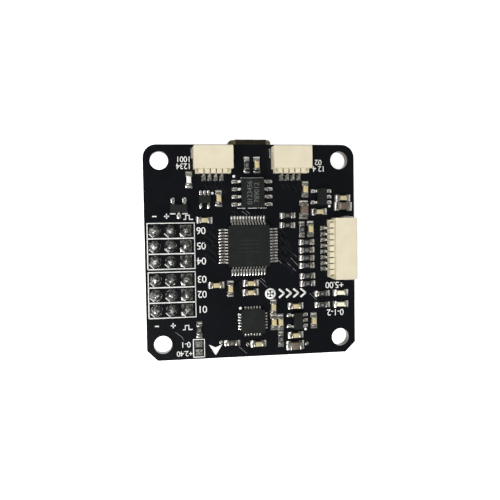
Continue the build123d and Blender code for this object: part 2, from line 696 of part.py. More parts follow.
TERMINAL_PARTS = {
    "small_capacitor": (
        [on_board(*place) for place in SMALL_CAPACITOR_PLACES],
        (SMALL_LENGTH, SMALL_WIDTH, SMALL_CAPACITOR_HEIGHT), SMALL_CAP_LENGTH,
    ),
    "large_capacitor": (
        [on_board(*place) for place in LARGE_CAPACITOR_PLACES],
        (LARGE_LENGTH, LARGE_WIDTH, LARGE_HEIGHT), LARGE_CAP_LENGTH,
    ),
    "resistor": (
        [on_board(*place) for place in RESISTOR_PLACES],
        (SMALL_LENGTH, SMALL_WIDTH, RESISTOR_HEIGHT), RESISTOR_CAP_LENGTH,
    ),
    "input_fuse": (
        [on_board(*place) for place in FUSE_PLACES],
        (SMALL_LENGTH, SMALL_WIDTH, FUSE_HEIGHT), SMALL_CAP_LENGTH,
    ),
    "load_capacitor": (
        [under_board(*place) for place in LOAD_CAPACITOR_PLACES],
        (SMALL_LENGTH, SMALL_WIDTH, SMALL_CAPACITOR_HEIGHT), SMALL_CAP_LENGTH,
    ),
    "power_light": (
        [on_board(*POWER_LIGHT_PLACE)],
        (SMALL_LENGTH, SMALL_WIDTH, LIGHT_BASE_HEIGHT), LIGHT_CAP_LENGTH,
    ),
    "status_light": (
        [on_board(*STATUS_LIGHT_PLACE)],
        (SMALL_LENGTH, SMALL_WIDTH, LIGHT_BASE_HEIGHT), LIGHT_CAP_LENGTH,
    ),
}
terminal_nodes = {}
for part_name, (part_places, part_size, part_cap) in TERMINAL_PARTS.items():
    middles, ends = terminal_pair(part_places, part_size, part_cap)
    terminal_nodes[part_name + "_bodies"] = middles
    terminal_nodes[part_name + "_caps"] = ends


def light_lens(place):
    """The clear block over a light, standing on its base."""
    with BuildPart() as lens:
        with Locations(on_board(*place) * Location((0, 0, LIGHT_BASE_HEIGHT - CAP_PROUD))):
            Box(LIGHT_LENS_LENGTH, LIGHT_LENS_WIDTH, LIGHT_LENS_HEIGHT, align=ON_FLOOR)
        chamfer(lens.edges().group_by(Axis.Z)[-1], LIGHT_LENS_CHAMFER)
    return lens


power_light_lens = light_lens(POWER_LIGHT_PLACE)
status_light_lens = light_lens(STATUS_LIGHT_PLACE)

# ---------------------------------------------------------------- clock crystal, under the board
crystal_place = under_board(*CRYSTAL_PLACE)
with BuildPart() as crystal_base:
    with Locations(crystal_place):
        Box(CRYSTAL_LENGTH, CRYSTAL_WIDTH, CRYSTAL_BASE_HEIGHT, align=ON_FLOOR)

with BuildPart() as crystal_lid:
    with Locations(crystal_place * Location((0, 0, CRYSTAL_BASE_HEIGHT))):
        Box(
            CRYSTAL_LENGTH - 2 * CRYSTAL_LID_MARGIN, CRYSTAL_WIDTH - 2 * CRYSTAL_LID_MARGIN,
            CRYSTAL_LID_HEIGHT, align=ON_FLOOR,
        )
    chamfer(crystal_lid.edges().group_by(Axis.Z)[0], CRYSTAL_LID_CHAMFER)

# ---------------------------------------------------------------- bare boot pads
with BuildPart() as boot_pads:
    for pad_place in BOOT_PAD_PLACES:
        with Locations(on_board(*pad_place)):
            Box(BOOT_PAD_WIDTH, BOOT_PAD_LENGTH, BOOT_PAD_THICKNESS, align=ON_FLOOR)

# ---------------------------------------------------------------- files
NODES = {
    "circuit_board": circuit_board,
    **port_nodes,
    "servo_header_bases": servo_header_bases,
    "servo_header_pins": servo_header_pins,
    "servo_header_solder": servo_header_solder,
    "usb_shell": usb_shell,
    "usb_insulator": usb_insulator,
    "usb_contacts": usb_contacts,
    "processor_body": processor_body,
    "processor_leads": processor_leads,
    "memory_body": memory_body,
    "memory_leads": memory_leads,
    "motion_sensor_body": motion_sensor_body,
    "motion_sensor_pads": motion_sensor_pads,
    **small_chip_nodes,
    **terminal_nodes,
    "power_light_lens": power_light_lens,
    "status_light_lens": status_light_lens,
    "crystal_base": crystal_base,
    "crystal_lid": crystal_lid,
    "boot_pads": boot_pads,
}
for node_name, node in NODES.items():
    node.part.label = node_name
    export_step(node.part, f"parts/{node_name}.step")
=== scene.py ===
"""Looks of the flight controller board: finishes, solder, leads, print, tracks and painted highlights on
its CAD frame.

Lengths in this file are millimetres, and are turned to metres where a mesh is made. The board's
populated side faces +Z, the USB socket is at +Y and the servo headers are at -X.
"""
import logging
import math
import random
from dataclasses import dataclass, field
from enum import Enum
from typing import Callable, Iterable, Optional, Sequence

import bmesh
import bpy
from mathutils import Matrix, Vector


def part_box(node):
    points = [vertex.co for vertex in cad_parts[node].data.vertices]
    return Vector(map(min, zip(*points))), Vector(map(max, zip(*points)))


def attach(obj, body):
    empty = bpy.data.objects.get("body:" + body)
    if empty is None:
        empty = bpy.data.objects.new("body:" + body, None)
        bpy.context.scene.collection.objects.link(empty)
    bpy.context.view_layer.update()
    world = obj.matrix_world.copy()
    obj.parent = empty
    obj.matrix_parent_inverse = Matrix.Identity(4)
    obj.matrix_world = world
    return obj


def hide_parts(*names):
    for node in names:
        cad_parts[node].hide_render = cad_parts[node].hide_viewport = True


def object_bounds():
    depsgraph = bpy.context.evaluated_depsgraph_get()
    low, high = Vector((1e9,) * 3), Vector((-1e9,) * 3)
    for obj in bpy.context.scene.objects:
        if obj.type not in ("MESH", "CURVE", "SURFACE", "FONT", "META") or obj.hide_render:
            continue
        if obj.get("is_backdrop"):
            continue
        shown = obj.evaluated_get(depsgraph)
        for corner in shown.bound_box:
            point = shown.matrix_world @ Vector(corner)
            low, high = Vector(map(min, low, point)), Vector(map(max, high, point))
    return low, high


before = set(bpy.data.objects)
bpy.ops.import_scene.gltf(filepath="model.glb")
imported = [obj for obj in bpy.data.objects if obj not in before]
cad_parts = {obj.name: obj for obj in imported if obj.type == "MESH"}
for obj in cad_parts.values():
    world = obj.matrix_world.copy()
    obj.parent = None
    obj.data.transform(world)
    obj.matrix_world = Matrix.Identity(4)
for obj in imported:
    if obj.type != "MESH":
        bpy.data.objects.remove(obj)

MM = 0.001
BODY = "root"
TURNS = "turns"
WELD_DISTANCE = 1e-7
FLAT_ANGLE = 1.0
SHARP_ANGLE = 30.0
LONGEST_CUT = 0.45
TYPE_SIZE_PER_DIGIT = 1.35
TYPE_SPACING = 0.92
TYPE_STEPS = 3
log = logging.getLogger("flight_controller")

Colour = tuple[float, float, float]
Point = tuple[float, float]


class Side(Enum):
    """The face of the board that a piece stands on."""

    TOP = 1
    BOTTOM = -1


class Surface(Enum):
    """The record's material slots."""

    MASK = "solder_mask"
    PORT = "port_plastic"
    PORT_METAL = "port_metal"
    HEADER = "header_plastic"
    PIN = "pin_metal"
    SOLDER = "solder"
    USB = "usb_metal"
    USB_PLASTIC = "usb_plastic"
    CHIP = "chip_plastic"
    LEAD = "lead_metal"
    TAN = "capacitor_ceramic"
    BROWN = "large_ceramic"
    END = "end_metal"
    RESISTOR = "resistor_ceramic"
    FUSE = "fuse_ceramic"
    LIGHT_BASE = "light_base"
    LENS = "light_lens"
    CRYSTAL_BASE = "crystal_ceramic"
    CRYSTAL = "crystal_metal"
    PAD = "pad_metal"


# ------------------------------------------------------------------ reading the frame
@dataclass(frozen=True)
class Span:
    """The box of one solid, in millimetres."""

    low: Vector
    high: Vector

    @property
    def centre(self) -> Vector:
        """Middle of the box."""
        return (self.low + self.high) / 2

    @property
    def size(self) -> Vector:
        """Edge lengths of the box."""
        return self.high - self.low

    @property
    def lies_along_y(self) -> bool:
        """Whether the box is longer along Y than along X."""
        return self.size.y > self.size.x

    def corner(self, side_x: int, side_y: int) -> Point:
        """A corner seen from above, on the high side of an axis where its sign is positive."""
        return self.high.x if side_x > 0 else self.low.x, self.high.y if side_y > 0 else self.low.y

    def turn_to(self, others: Sequence["Span"]) -> float:
        """Turn of the line from this box to the nearest of others.

        Args:
            others: the other boxes.

        Returns:
            The turn in degrees: 0 or 90.
        """
        nearest = min(others, key=lambda other: (other.centre - self.centre).length)
        away = nearest.centre - self.centre
        return 90.0 if abs(away.y) > abs(away.x) else 0.0


def span_of(node: str) -> Span:
    """The box of a whole CAD node.

    Args:
        node: name of the node.

    Returns:
        Its box at rest.
    """
    low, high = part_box(node)
    return Span(low / MM, high / MM)


def merged_copy(node: str) -> bmesh.types.BMesh:
    """A copy of a CAD node's mesh with its loose triangles joined and its flat faces whole.

    Args:
        node: name of the node.

    Returns:
        The copy, in metres.
    """
    copy = bmesh.new()
    copy.from_mesh(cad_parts[node].data)
    bmesh.ops.remove_doubles(copy, verts=copy.verts, dist=WELD_DISTANCE)
    bmesh.ops.dissolve_limit(
        copy, angle_limit=math.radians(FLAT_ANGLE), verts=copy.verts, edges=copy.edges
    )
    return copy


def solids_of(node: str) -> list[Span]:
    """The boxes of the separate solids in a CAD node.

    Args:
        node: name of the node.

    Returns:
        One box for each solid, sorted from the back left to the front right.
    """
    copy = merged_copy(node)
    waiting = set(copy.verts)
    spans = []
    while waiting:
        stack = [waiting.pop()]
        points = []
        while stack:
            vert = stack.pop()
            points.append(vert.co / MM)
            for edge in vert.link_edges:
                other = edge.other_vert(vert)
                if other in waiting:
                    waiting.remove(other)
                    stack.append(other)
        low = Vector(min(p[i] for p in points) for i in range(3))
        high = Vector(max(p[i] for p in points) for i in range(3))
        spans.append(Span(low, high))
    copy.free()
    return sorted(spans, key=lambda s: (-round(s.centre.y, 3), round(s.centre.x, 3)))


@dataclass(frozen=True)
class Near:
    """Points measured from a corner of a part's box."""

    node: str
    side_x: int
    side_y: int
    offsets: tuple[Point, ...]

    def points(self) -> list[Point]:
        """The points on the board."""
        x, y = span_of(self.node).corner(self.side_x, self.side_y)
        return [(x + dx, y + dy) for dx, dy in self.offsets]


# ------------------------------------------------------------------ making meshes
def to_object(name: str, mesh: bmesh.types.BMesh, smooth: float = 35.0) -> bpy.types.Object:
    """Turn a bmesh into an object that isn't in the scene yet.

    Args:
        name: name of the object.
        mesh: its mesh, in metres, freed afterwards.
        smooth: edges sharper than this angle, in degrees, stay sharp.

    Returns:
        The new object.
    """
    data = bpy.data.meshes.new(name)
    mesh.to_mesh(data)
    mesh.free()
    data.shade_smooth()
    data.set_sharp_from_angle(angle=math.radians(smooth))
    return bpy.data.objects.new(name, data)


def block(
    size: Sequence[float], middle: Point = (0, 0), base: float = 0.0, soft: float = 0.03
) -> bmesh.types.BMesh:
    """A block that stands on a level, with rounded edges.

    Args:
        size: its width, depth and height.
        middle: where its middle is, seen from above.
        base: level of its underside.
        soft: radius of its edges.

    Returns:
        Its mesh, in metres.
    """
    mesh = bmesh.new()
    bmesh.ops.create_cube(mesh, size=1.0)
    lift = Vector((middle[0], middle[1], base + size[2] / 2))
    for vert in mesh.verts:
        vert.co = (Vector(v * s for v, s in zip(vert.co, size)) + lift) * MM
    if soft:
        bmesh.ops.bevel(
            mesh, geom=mesh.edges[:], offset=soft * MM, segments=2, profile=0.5, affect="EDGES"
        )
    return mesh


def join_all(parts: Iterable[bmesh.types.BMesh]) -> bmesh.types.BMesh:
    """Put several meshes in one.

    Args:
        parts: the meshes, freed afterwards.

    Returns:
        One mesh of them all.
    """
    whole = bmesh.new()
    for part in parts:
        data = bpy.data.meshes.new("part")
        part.to_mesh(data)
        part.free()
        whole.from_mesh(data)
        bpy.data.meshes.remove(data)
    return whole


def rounded_path(corners: Sequence[Point], radius: float, steps: int = 4) -> list[Point]:
    """A path whose corners are arcs.

    Args:
        corners: the path's corner points.
        radius: radius of each arc, less where a run is short.
        steps: number of runs in each arc.

    Returns:
        The points of the rounded path.
    """
    path = [corners[0]]
    for before, corner, after in zip(corners, corners[1:], corners[2:]):
        here = Vector(corner)
        back, on = Vector(before) - here, Vector(after) - here
        half = back.angle(on) / 2
        cut = min(radius / math.tan(half), back.length * LONGEST_CUT, on.length * LONGEST_CUT)
        start, end = here + back.normalized() * cut, here + on.normalized() * cut
        for step in range(steps + 1):
            t = step / steps
            path.append(tuple((1 - t) ** 2 * start + 2 * t * (1 - t) * here + t * t * end))
    path.append(corners[-1])
    return path


def bent_strip(
    corners: Sequence[Point], width: float, thickness: float, radius: float
) -> bmesh.types.BMesh:
    """A bent metal strip that runs along +X and stands upright in Z.

    Args:
        corners: its middle line's corners, as X and Z.
        width: its width along Y.
        thickness: thickness of the metal.
        radius: radius of its bends.

    Returns:
        Its mesh, in metres.
    """
    path = [Vector(p) for p in rounded_path(corners, radius)]
    mesh = bmesh.new()
    rings = []
    for index, point in enumerate(path):
        along = (path[min(index + 1, len(path) - 1)] - path[max(index - 1, 0)]).normalized()
        across = Vector((-along.y, along.x)) * thickness / 2
        ring = []
        for out, y in ((1, -1), (1, 1), (-1, 1), (-1, -1)):
            x, z = point + across * out
            ring.append(mesh.verts.new(Vector((x, y * width / 2, z)) * MM))
        rings.append(ring)
    for first, second in zip(rings, rings[1:]):
        for i in range(4):
            j = (i + 1) % 4
            mesh.faces.new((first[i], first[j], second[j], second[i]))
    mesh.faces.new(rings[0][::-1])
    mesh.faces.new(rings[-1])
    bmesh.ops.recalc_face_normals(mesh, faces=mesh.faces)
    return mesh


def lathe(profile: Sequence[Point], steps: int = 20) -> bmesh.types.BMesh:
    """A turned shape about the upright axis.

    Args:
        profile: radius and height of each ring, where a radius of 0 is a pole.
        steps: number of sides.

    Returns:
        Its mesh, in metres.
    """
    mesh = bmesh.new()
    rings = []
    for radius, height in profile:
        if radius == 0:
            rings.append([mesh.verts.new((0, 0, height * MM))])
            continue
        ring = []
        for step in range(steps):
            angle = 2 * math.pi * step / steps
            place = Vector((radius * math.cos(angle), radius * math.sin(angle), height))
            ring.append(mesh.verts.new(place * MM))
        rings.append(ring)
    for first, second in zip(rings, rings[1:]):
        for i in range(steps):
            j = (i + 1) % steps
            if len(first) == 1:
                mesh.faces.new((first[0], second[j], second[i]))
            elif len(second) == 1:
                mesh.faces.new((first[i], first[j], second[0]))
            else:
                mesh.faces.new((first[i], first[j], second[j], second[i]))
    bmesh.ops.recalc_face_normals(mesh, faces=mesh.faces)
    return mesh


def mound(
    start: float, length: float, width: float, height: Callable[[float, float], float],
    cells: tuple[int, int],
) -> bmesh.types.BMesh:
    """A closed lump with a flat underside and a top that follows a rule.

    Args:
        start: where it starts along X.
        length: its length along X.
        width: its width along Y.
        height: its height, from the shares along (0 to 1) and across (-1 to 1).
        cells: number of cells along and across.

    Returns:
        Its mesh, in metres.
    """
    mesh = bmesh.new()
    top, bottom = [], []
    for i in range(cells[0] + 1):
        along = i / cells[0]
        top.append([])
        bottom.append([])
        for j in range(cells[1] + 1):
            across = 2 * j / cells[1] - 1
            x, y = start + along * length, across * width / 2
            top[-1].append(mesh.verts.new(Vector((x, y, height(along, across))) * MM))
            bottom[-1].append(mesh.verts.new(Vector((x, y, 0)) * MM))
    for i in range(cells[0]):
        for j in range(cells[1]):
            mesh.faces.new((top[i][j], top[i + 1][j], top[i + 1][j + 1], top[i][j + 1]))
            mesh.faces.new((bottom[i][j], bottom[i][j + 1], bottom[i + 1][j + 1], bottom[i + 1][j]))
    for i in range(cells[0]):
        for j in (0, cells[1]):
            mesh.faces.new((top[i][j], bottom[i][j], bottom[i + 1][j], top[i + 1][j]))
    for j in range(cells[1]):
        for i in (0, cells[0]):
            mesh.faces.new((top[i][j], top[i][j + 1], bottom[i][j + 1], bottom[i][j]))
    bmesh.ops.recalc_face_normals(mesh, faces=mesh.faces)
    return mesh


def flat_shape(outline: Sequence[Point], base: float, thickness: float) -> bmesh.types.BMesh:
    """A thin plate of any outline.

    Args:
        outline: its corners, anticlockwise.
        base: level of its underside.
        thickness: its thickness.

    Returns:
        Its mesh, in metres.
    """
    mesh = bmesh.new()
    low = [mesh.verts.new(Vector((x, y, base)) * MM) for x, y in outline]
    high = [mesh.verts.new(Vector((x, y, base + thickness)) * MM) for x, y in outline]
    mesh.faces.new(low[::-1])
    mesh.faces.new(high)
    for i in range(len(outline)):
        j = (i + 1) % len(outline)
        mesh.faces.new((low[i], low[j], high[j], high[i]))
    return mesh


def figures(text: str, height: float, base: float, thickness: float) -> bmesh.types.BMesh:
    """Printed figures, read from the back edge of the board, in the middle of their place.

    Args:
        text: digits and signs.
        height: height of a digit.
        base: level of their underside.
        thickness: thickness of the print.

    Returns:
        Their mesh, in metres.
    """
    curve = bpy.data.curves.new("figures", "FONT")
    curve.body = text
    curve.size = height * TYPE_SIZE_PER_DIGIT
    curve.resolution_u = TYPE_STEPS
    curve.align_x = "CENTER"
    curve.align_y = "CENTER"
    curve.extrude = thickness / 2
    curve.space_character = TYPE_SPACING
    writer = bpy.data.objects.new("figures", curve)
    bpy.context.scene.collection.objects.link(writer)
    ready = writer.evaluated_get(bpy.context.evaluated_depsgraph_get())
    data = bpy.data.meshes.new_from_object(ready)
    bpy.data.objects.remove(writer)
    mesh = bmesh.new()
    mesh.from_mesh(data)
    bpy.data.meshes.remove(data)
    lift = Matrix.Translation(Vector((0, 0, base + thickness / 2)) * MM)
    turn = lift @ Matrix.Rotation(math.pi, 4, "Z") @ Matrix.Scale(MM, 4)
    bmesh.ops.transform(mesh, verts=mesh.verts, matrix=turn)
    bmesh.ops.remove_doubles(mesh, verts=mesh.verts, dist=WELD_DISTANCE)
    return mesh


# ------------------------------------------------------------------ node trees
class Graph:
    """A geometry or shading node tree that is being put together."""

    def __init__(self, tree: bpy.types.NodeTree) -> None:
        """Start on a tree.

        Args:
            tree: the tree to add to.
        """
        self.tree = tree

    def add(self, kind: str, sockets: Optional[dict] = None, **settings: object) -> bpy.types.Node:
        """Add a node.

        Args:
            kind: its type.
            sockets: its inputs by name or number, each a value or another node's output.
            settings: its own properties.

        Returns:
            The node.
        """
        node = self.tree.nodes.new(kind)
        for name, value in settings.items():
            setattr(node, name, value)
        for key, value in (sockets or {}).items():
            if isinstance(value, bpy.types.NodeSocket):
                self.tree.links.new(value, node.inputs[key])
            else:
                node.inputs[key].default_value = value
        return node

    def math(self, operation: str, *values: object) -> bpy.types.NodeSocket:
        """Result of a Math node on the values."""
        return self.add("ShaderNodeMath", dict(enumerate(values)), operation=operation).outputs[0]

    def mix(self, share: object, first: object, second: object) -> bpy.types.NodeSocket:
        """Colour between two others, by a share."""
        sockets = {0: share, 6: first, 7: second}
        return self.add("ShaderNodeMix", sockets, data_type="RGBA").outputs[2]

    def spread(self, value: object, low: float, high: float) -> bpy.types.NodeSocket:
        """Value from 0 to 1 spread between two others."""
        return self.add("ShaderNodeMapRange", {0: value, 3: low, 4: high}).outputs[0]

    def where(self) -> bpy.types.NodeSocket:
        """Position in the object's own axes."""
        return self.add("ShaderNodeTexCoord").outputs["Object"]

    def upness(self) -> bpy.types.NodeSocket:
        """How far the surface faces up, from -1 to 1."""
        normal = self.add("ShaderNodeNewGeometry").outputs["Normal"]
        return self.add("ShaderNodeSeparateXYZ", {0: normal}).outputs["Z"]

    def noise(self, where: object, scale: object, detail: float) -> bpy.types.NodeSocket:
        """Noise from 0 to 1, with its scale in repeats per metre."""
        sockets = {"Vector": where, "Scale": scale, "Detail": detail}
        return self.add("ShaderNodeTexNoise", sockets).outputs[0]


def open_tree(
    name: str, kind: str, inputs: dict[str, str], outputs: dict[str, str]
) -> tuple[Graph, dict, bpy.types.Node]:
    """Make a node group with named sockets.

    Args:
        name: its name.
        kind: type of the tree.
        inputs: its inputs' names and types.
        outputs: its outputs' names and types.

    Returns:
        The graph, its input sockets by name, and its output node.
    """
    tree = bpy.data.node_groups.new(name, kind)
    for label, socket in inputs.items():
        tree.interface.new_socket(label, in_out="INPUT", socket_type="NodeSocket" + socket)
    for label, socket in outputs.items():
        tree.interface.new_socket(label, in_out="OUTPUT", socket_type="NodeSocket" + socket)
    graph = Graph(tree)
    return graph, graph.add("NodeGroupInput").outputs, graph.add("NodeGroupOutput")


class Growth:
    """The geometry node trees that place, print and pour what repeats on the board."""

    LUMP_DETAIL = 2.0
    CORNER_STEPS = 3

    def __init__(self) -> None:
        """Build the trees."""
        self.copies = self._copies_tree()
        self.strokes = self._strokes_tree()

    @staticmethod
    def _copies_tree() -> bpy.types.NodeTree:
        """Put a copy of a template at each point and make each a little different.

        Returns:
            The tree.
        """
        graph, given, out = open_tree(
            "copies_at_places",
            "GeometryNodeTree",
            {
                "Places": "Geometry", "Template": "Object", "Turn Spread": "Float",
                "Size Spread": "Float", "Lumps": "Float", "Lump Size": "Float",
                "Seed": "Int", "Finish": "Material",
            },
            {"Geometry": "Geometry"},
        )
        copy = graph.add("GeometryNodeObjectInfo", {"Object": given["Template"]})
        turns = graph.add(
            "GeometryNodeInputNamedAttribute", {"Name": TURNS}, data_type="FLOAT_VECTOR"
        )
        least = graph.math("MULTIPLY", given["Turn Spread"], -1.0)
        jitter = graph.add(
            "FunctionNodeRandomValue",
            {2: least, 3: given["Turn Spread"], "Seed": given["Seed"]},
            data_type="FLOAT",
        )
        twist = graph.add("ShaderNodeCombineXYZ", {"Z": jitter.outputs[1]})
        turned = graph.add("ShaderNodeVectorMath", {0: turns.outputs[0], 1: twist.outputs[0]})
        smallest = graph.math("SUBTRACT", 1.0, given["Size Spread"])
        biggest = graph.math("ADD", 1.0, given["Size Spread"])
        size = graph.add(
            "FunctionNodeRandomValue",
            {2: smallest, 3: biggest, "Seed": graph.math("ADD", given["Seed"], 1.0)},
            data_type="FLOAT",
        )
        placed = graph.add(
            "GeometryNodeInstanceOnPoints",
            {
                "Points": given["Places"], "Instance": copy.outputs["Geometry"],
                "Rotation": turned.outputs[0], "Scale": size.outputs[1],
            },
        )
        solid = graph.add("GeometryNodeRealizeInstances", {"Geometry": placed.outputs[0]})
        noise = graph.add(
            "ShaderNodeTexNoise",
            {"Scale": graph.math("DIVIDE", 1.0, given["Lump Size"]), "Detail": Growth.LUMP_DETAIL},
        )
        centred = graph.add(
            "ShaderNodeVectorMath", {0: noise.outputs["Color"], 1: (0.5, 0.5, 0.5)}, operation="SUBTRACT"
        )
        push = graph.add(
            "ShaderNodeVectorMath", {0: centred.outputs[0], "Scale": given["Lumps"]}, operation="SCALE"
        )
        lumpy = graph.add(
            "GeometryNodeSetPosition", {"Geometry": solid.outputs[0], "Offset": push.outputs[0]}
        )
        finished = graph.add(
            "GeometryNodeSetMaterial",
            {"Geometry": lumpy.outputs[0], "Material": given["Finish"]},
        )
        graph.tree.links.new(finished.outputs[0], out.inputs[0])
        return graph.tree

    @staticmethod
    def _strokes_tree() -> bpy.types.NodeTree:
        """Turn edges into flat strokes with rounded corners.

        Returns:
            The tree.
        """
        graph, given, out = open_tree(
            "flat_strokes",
            "GeometryNodeTree",
            {
                "Lines": "Geometry", "Width": "Float", "Thickness": "Float",
                "Corner": "Float", "Finish": "Material",
            },
            {"Geometry": "Geometry"},
        )
        curve = graph.add("GeometryNodeMeshToCurve", {"Mesh": given["Lines"]})
        eased = graph.add(
            "GeometryNodeFilletCurve",
            {
                "Curve": curve.outputs[0], "Radius": given["Corner"],
                "Count": Growth.CORNER_STEPS, "Limit Radius": True,
            },
            mode="POLY",
        )
        level = graph.add("GeometryNodeSetCurveNormal", {"Curve": eased.outputs[0]}, mode="Z_UP")
        section = graph.add(
            "GeometryNodeCurvePrimitiveQuadrilateral",
            {"Width": given["Width"], "Height": given["Thickness"]},
        )
        ribbon = graph.add(
            "GeometryNodeCurveToMesh",
            {"Curve": level.outputs[0], "Profile Curve": section.outputs[0], "Fill Caps": True},
        )
        lift = graph.add("ShaderNodeCombineXYZ", {"Z": graph.math("MULTIPLY", given["Thickness"], 0.5)})
        laid = graph.add(
            "GeometryNodeSetPosition", {"Geometry": ribbon.outputs[0], "Offset": lift.outputs[0]}
        )
        solid = graph.add("GeometryNodeRealizeInstances", {"Geometry": laid.outputs[0]})
        finished = graph.add(
            "GeometryNodeSetMaterial",
            {"Geometry": solid.outputs[0], "Material": given["Finish"]},
        )
        graph.tree.links.new(finished.outputs[0], out.inputs[0])
        return graph.tree


def grow(
    source: bpy.types.Object, tree: bpy.types.NodeTree, values: dict[str, object]
) -> bpy.types.Object:
    """Run a tree on an object and keep the result as a plain mesh.

    Args:
        source: the object that the tree starts from, removed afterwards.
        tree: the tree.
        values: its inputs by name.

    Returns:
        A new object, in the scene.
    """
    scene = bpy.context.scene
    scene.collection.objects.link(source)
    modifier = source.modifiers.new("grow", "NODES")
    modifier.node_group = tree
    for item in tree.interface.items_tree:
        if item.in_out == "INPUT" and item.name in values:
            modifier[item.identifier] = values[item.name]
    name = source.name
    ready = source.evaluated_get(bpy.context.evaluated_depsgraph_get())
    mesh = bpy.data.meshes.new_from_object(ready)
    source.modifiers.clear()
    bpy.data.objects.remove(source)
    piece = bpy.data.objects.new(name, mesh)
    mesh.name = name
    scene.collection.objects.link(piece)
    return piece


# ------------------------------------------------------------------ shared surface effects
class Effects:
    """Shading node groups that several finishes share."""

    WEAR_GAIN = 8.0
    WEAR_BREAKS_PER_MM = 3
    CLOUDS_PER_MM = 0.35
    SPECKS_PER_MM = 9
    THINNEST_DUST = 0.2
    THICKEST_DUST = 0.5

    def __init__(self) -> None:
        """Build the groups."""
        self.mottle = self._mottle()
        self.edge = self._edge()
        self.dust = self._dust()

    @staticmethod
    def _mottle() -> bpy.types.NodeTree:
        """Uneven colour and gloss: a soft mask and a fine height.

        Returns:
            The node group.
        """
        graph, given, out = open_tree(
            "mottle",
            "ShaderNodeTree",
            {"Patch Size": "Float", "Grain Size": "Float", "Contrast": "Float"},
            {"Mask": "Float", "Grain": "Float"},
        )
        where = graph.where()
        for size, label, detail in ((given[0], "Mask", 4.0), (given[1], "Grain", 3.0)):
            noise = graph.noise(where, graph.math("DIVIDE", 1 / MM, size), detail)
            away = graph.math("SUBTRACT", noise, 0.5)
            pulled = graph.math("MULTIPLY_ADD", away, given[2], 0.5)
            held = graph.add("ShaderNodeClamp", {0: pulled}).outputs[0]
            graph.tree.links.new(held, out.inputs[label])
        return graph.tree

    @staticmethod
    def _edge() -> bpy.types.NodeTree:
        """Worn edges: where a surface turns a corner, broken up by noise.

        Returns:
            The node group.
        """
        graph, given, out = open_tree(
            "edge_wear", "ShaderNodeTree", {"Amount": "Float", "Radius": "Float"}, {"Mask": "Float"}
        )
        radius = graph.math("MULTIPLY", given["Radius"], MM)
        rounded = graph.add("ShaderNodeBevel", {"Radius": radius}, samples=4).outputs[0]
        flat = graph.add("ShaderNodeNewGeometry").outputs["Normal"]
        facing = graph.add("ShaderNodeVectorMath", {0: rounded, 1: flat}, operation="DOT_PRODUCT")
        bend = graph.math("SUBTRACT", 1.0, facing.outputs["Value"])
        noise = graph.noise(graph.where(), Effects.WEAR_BREAKS_PER_MM / MM, 3.0)
        worn = graph.math("MULTIPLY", bend, Effects.WEAR_GAIN)
        broken = graph.math("MULTIPLY", worn, noise)
        shown = graph.math("MULTIPLY", broken, given["Amount"])
        graph.tree.links.new(graph.add("ShaderNodeClamp", {0: shown}).outputs[0], out.inputs[0])
        return graph.tree

    @staticmethod
    def _dust() -> bpy.types.NodeTree:
        """Settled dust and flux haze on what faces up.

        Returns:
            The node group.
        """
        graph, given, out = open_tree(
            "settled_dust", "ShaderNodeTree", {"Amount": "Float"}, {"Mask": "Float"}
        )
        up = graph.upness()
        where = graph.where()
        cloud = graph.noise(where, Effects.CLOUDS_PER_MM / MM, 5.0)
        specks = graph.noise(where, Effects.SPECKS_PER_MM / MM, 2.0)
        fine = graph.math("MULTIPLY", specks, cloud)
        thick = graph.add(
            "ShaderNodeMapRange", {0: fine, 1: Effects.THINNEST_DUST, 2: Effects.THICKEST_DUST}
        ).outputs[0]
        lying = graph.math("MULTIPLY", graph.add("ShaderNodeClamp", {0: up}).outputs[0], thick)
        graph.tree.links.new(graph.math("MULTIPLY", lying, given["Amount"]), out.inputs[0])
        return graph.tree


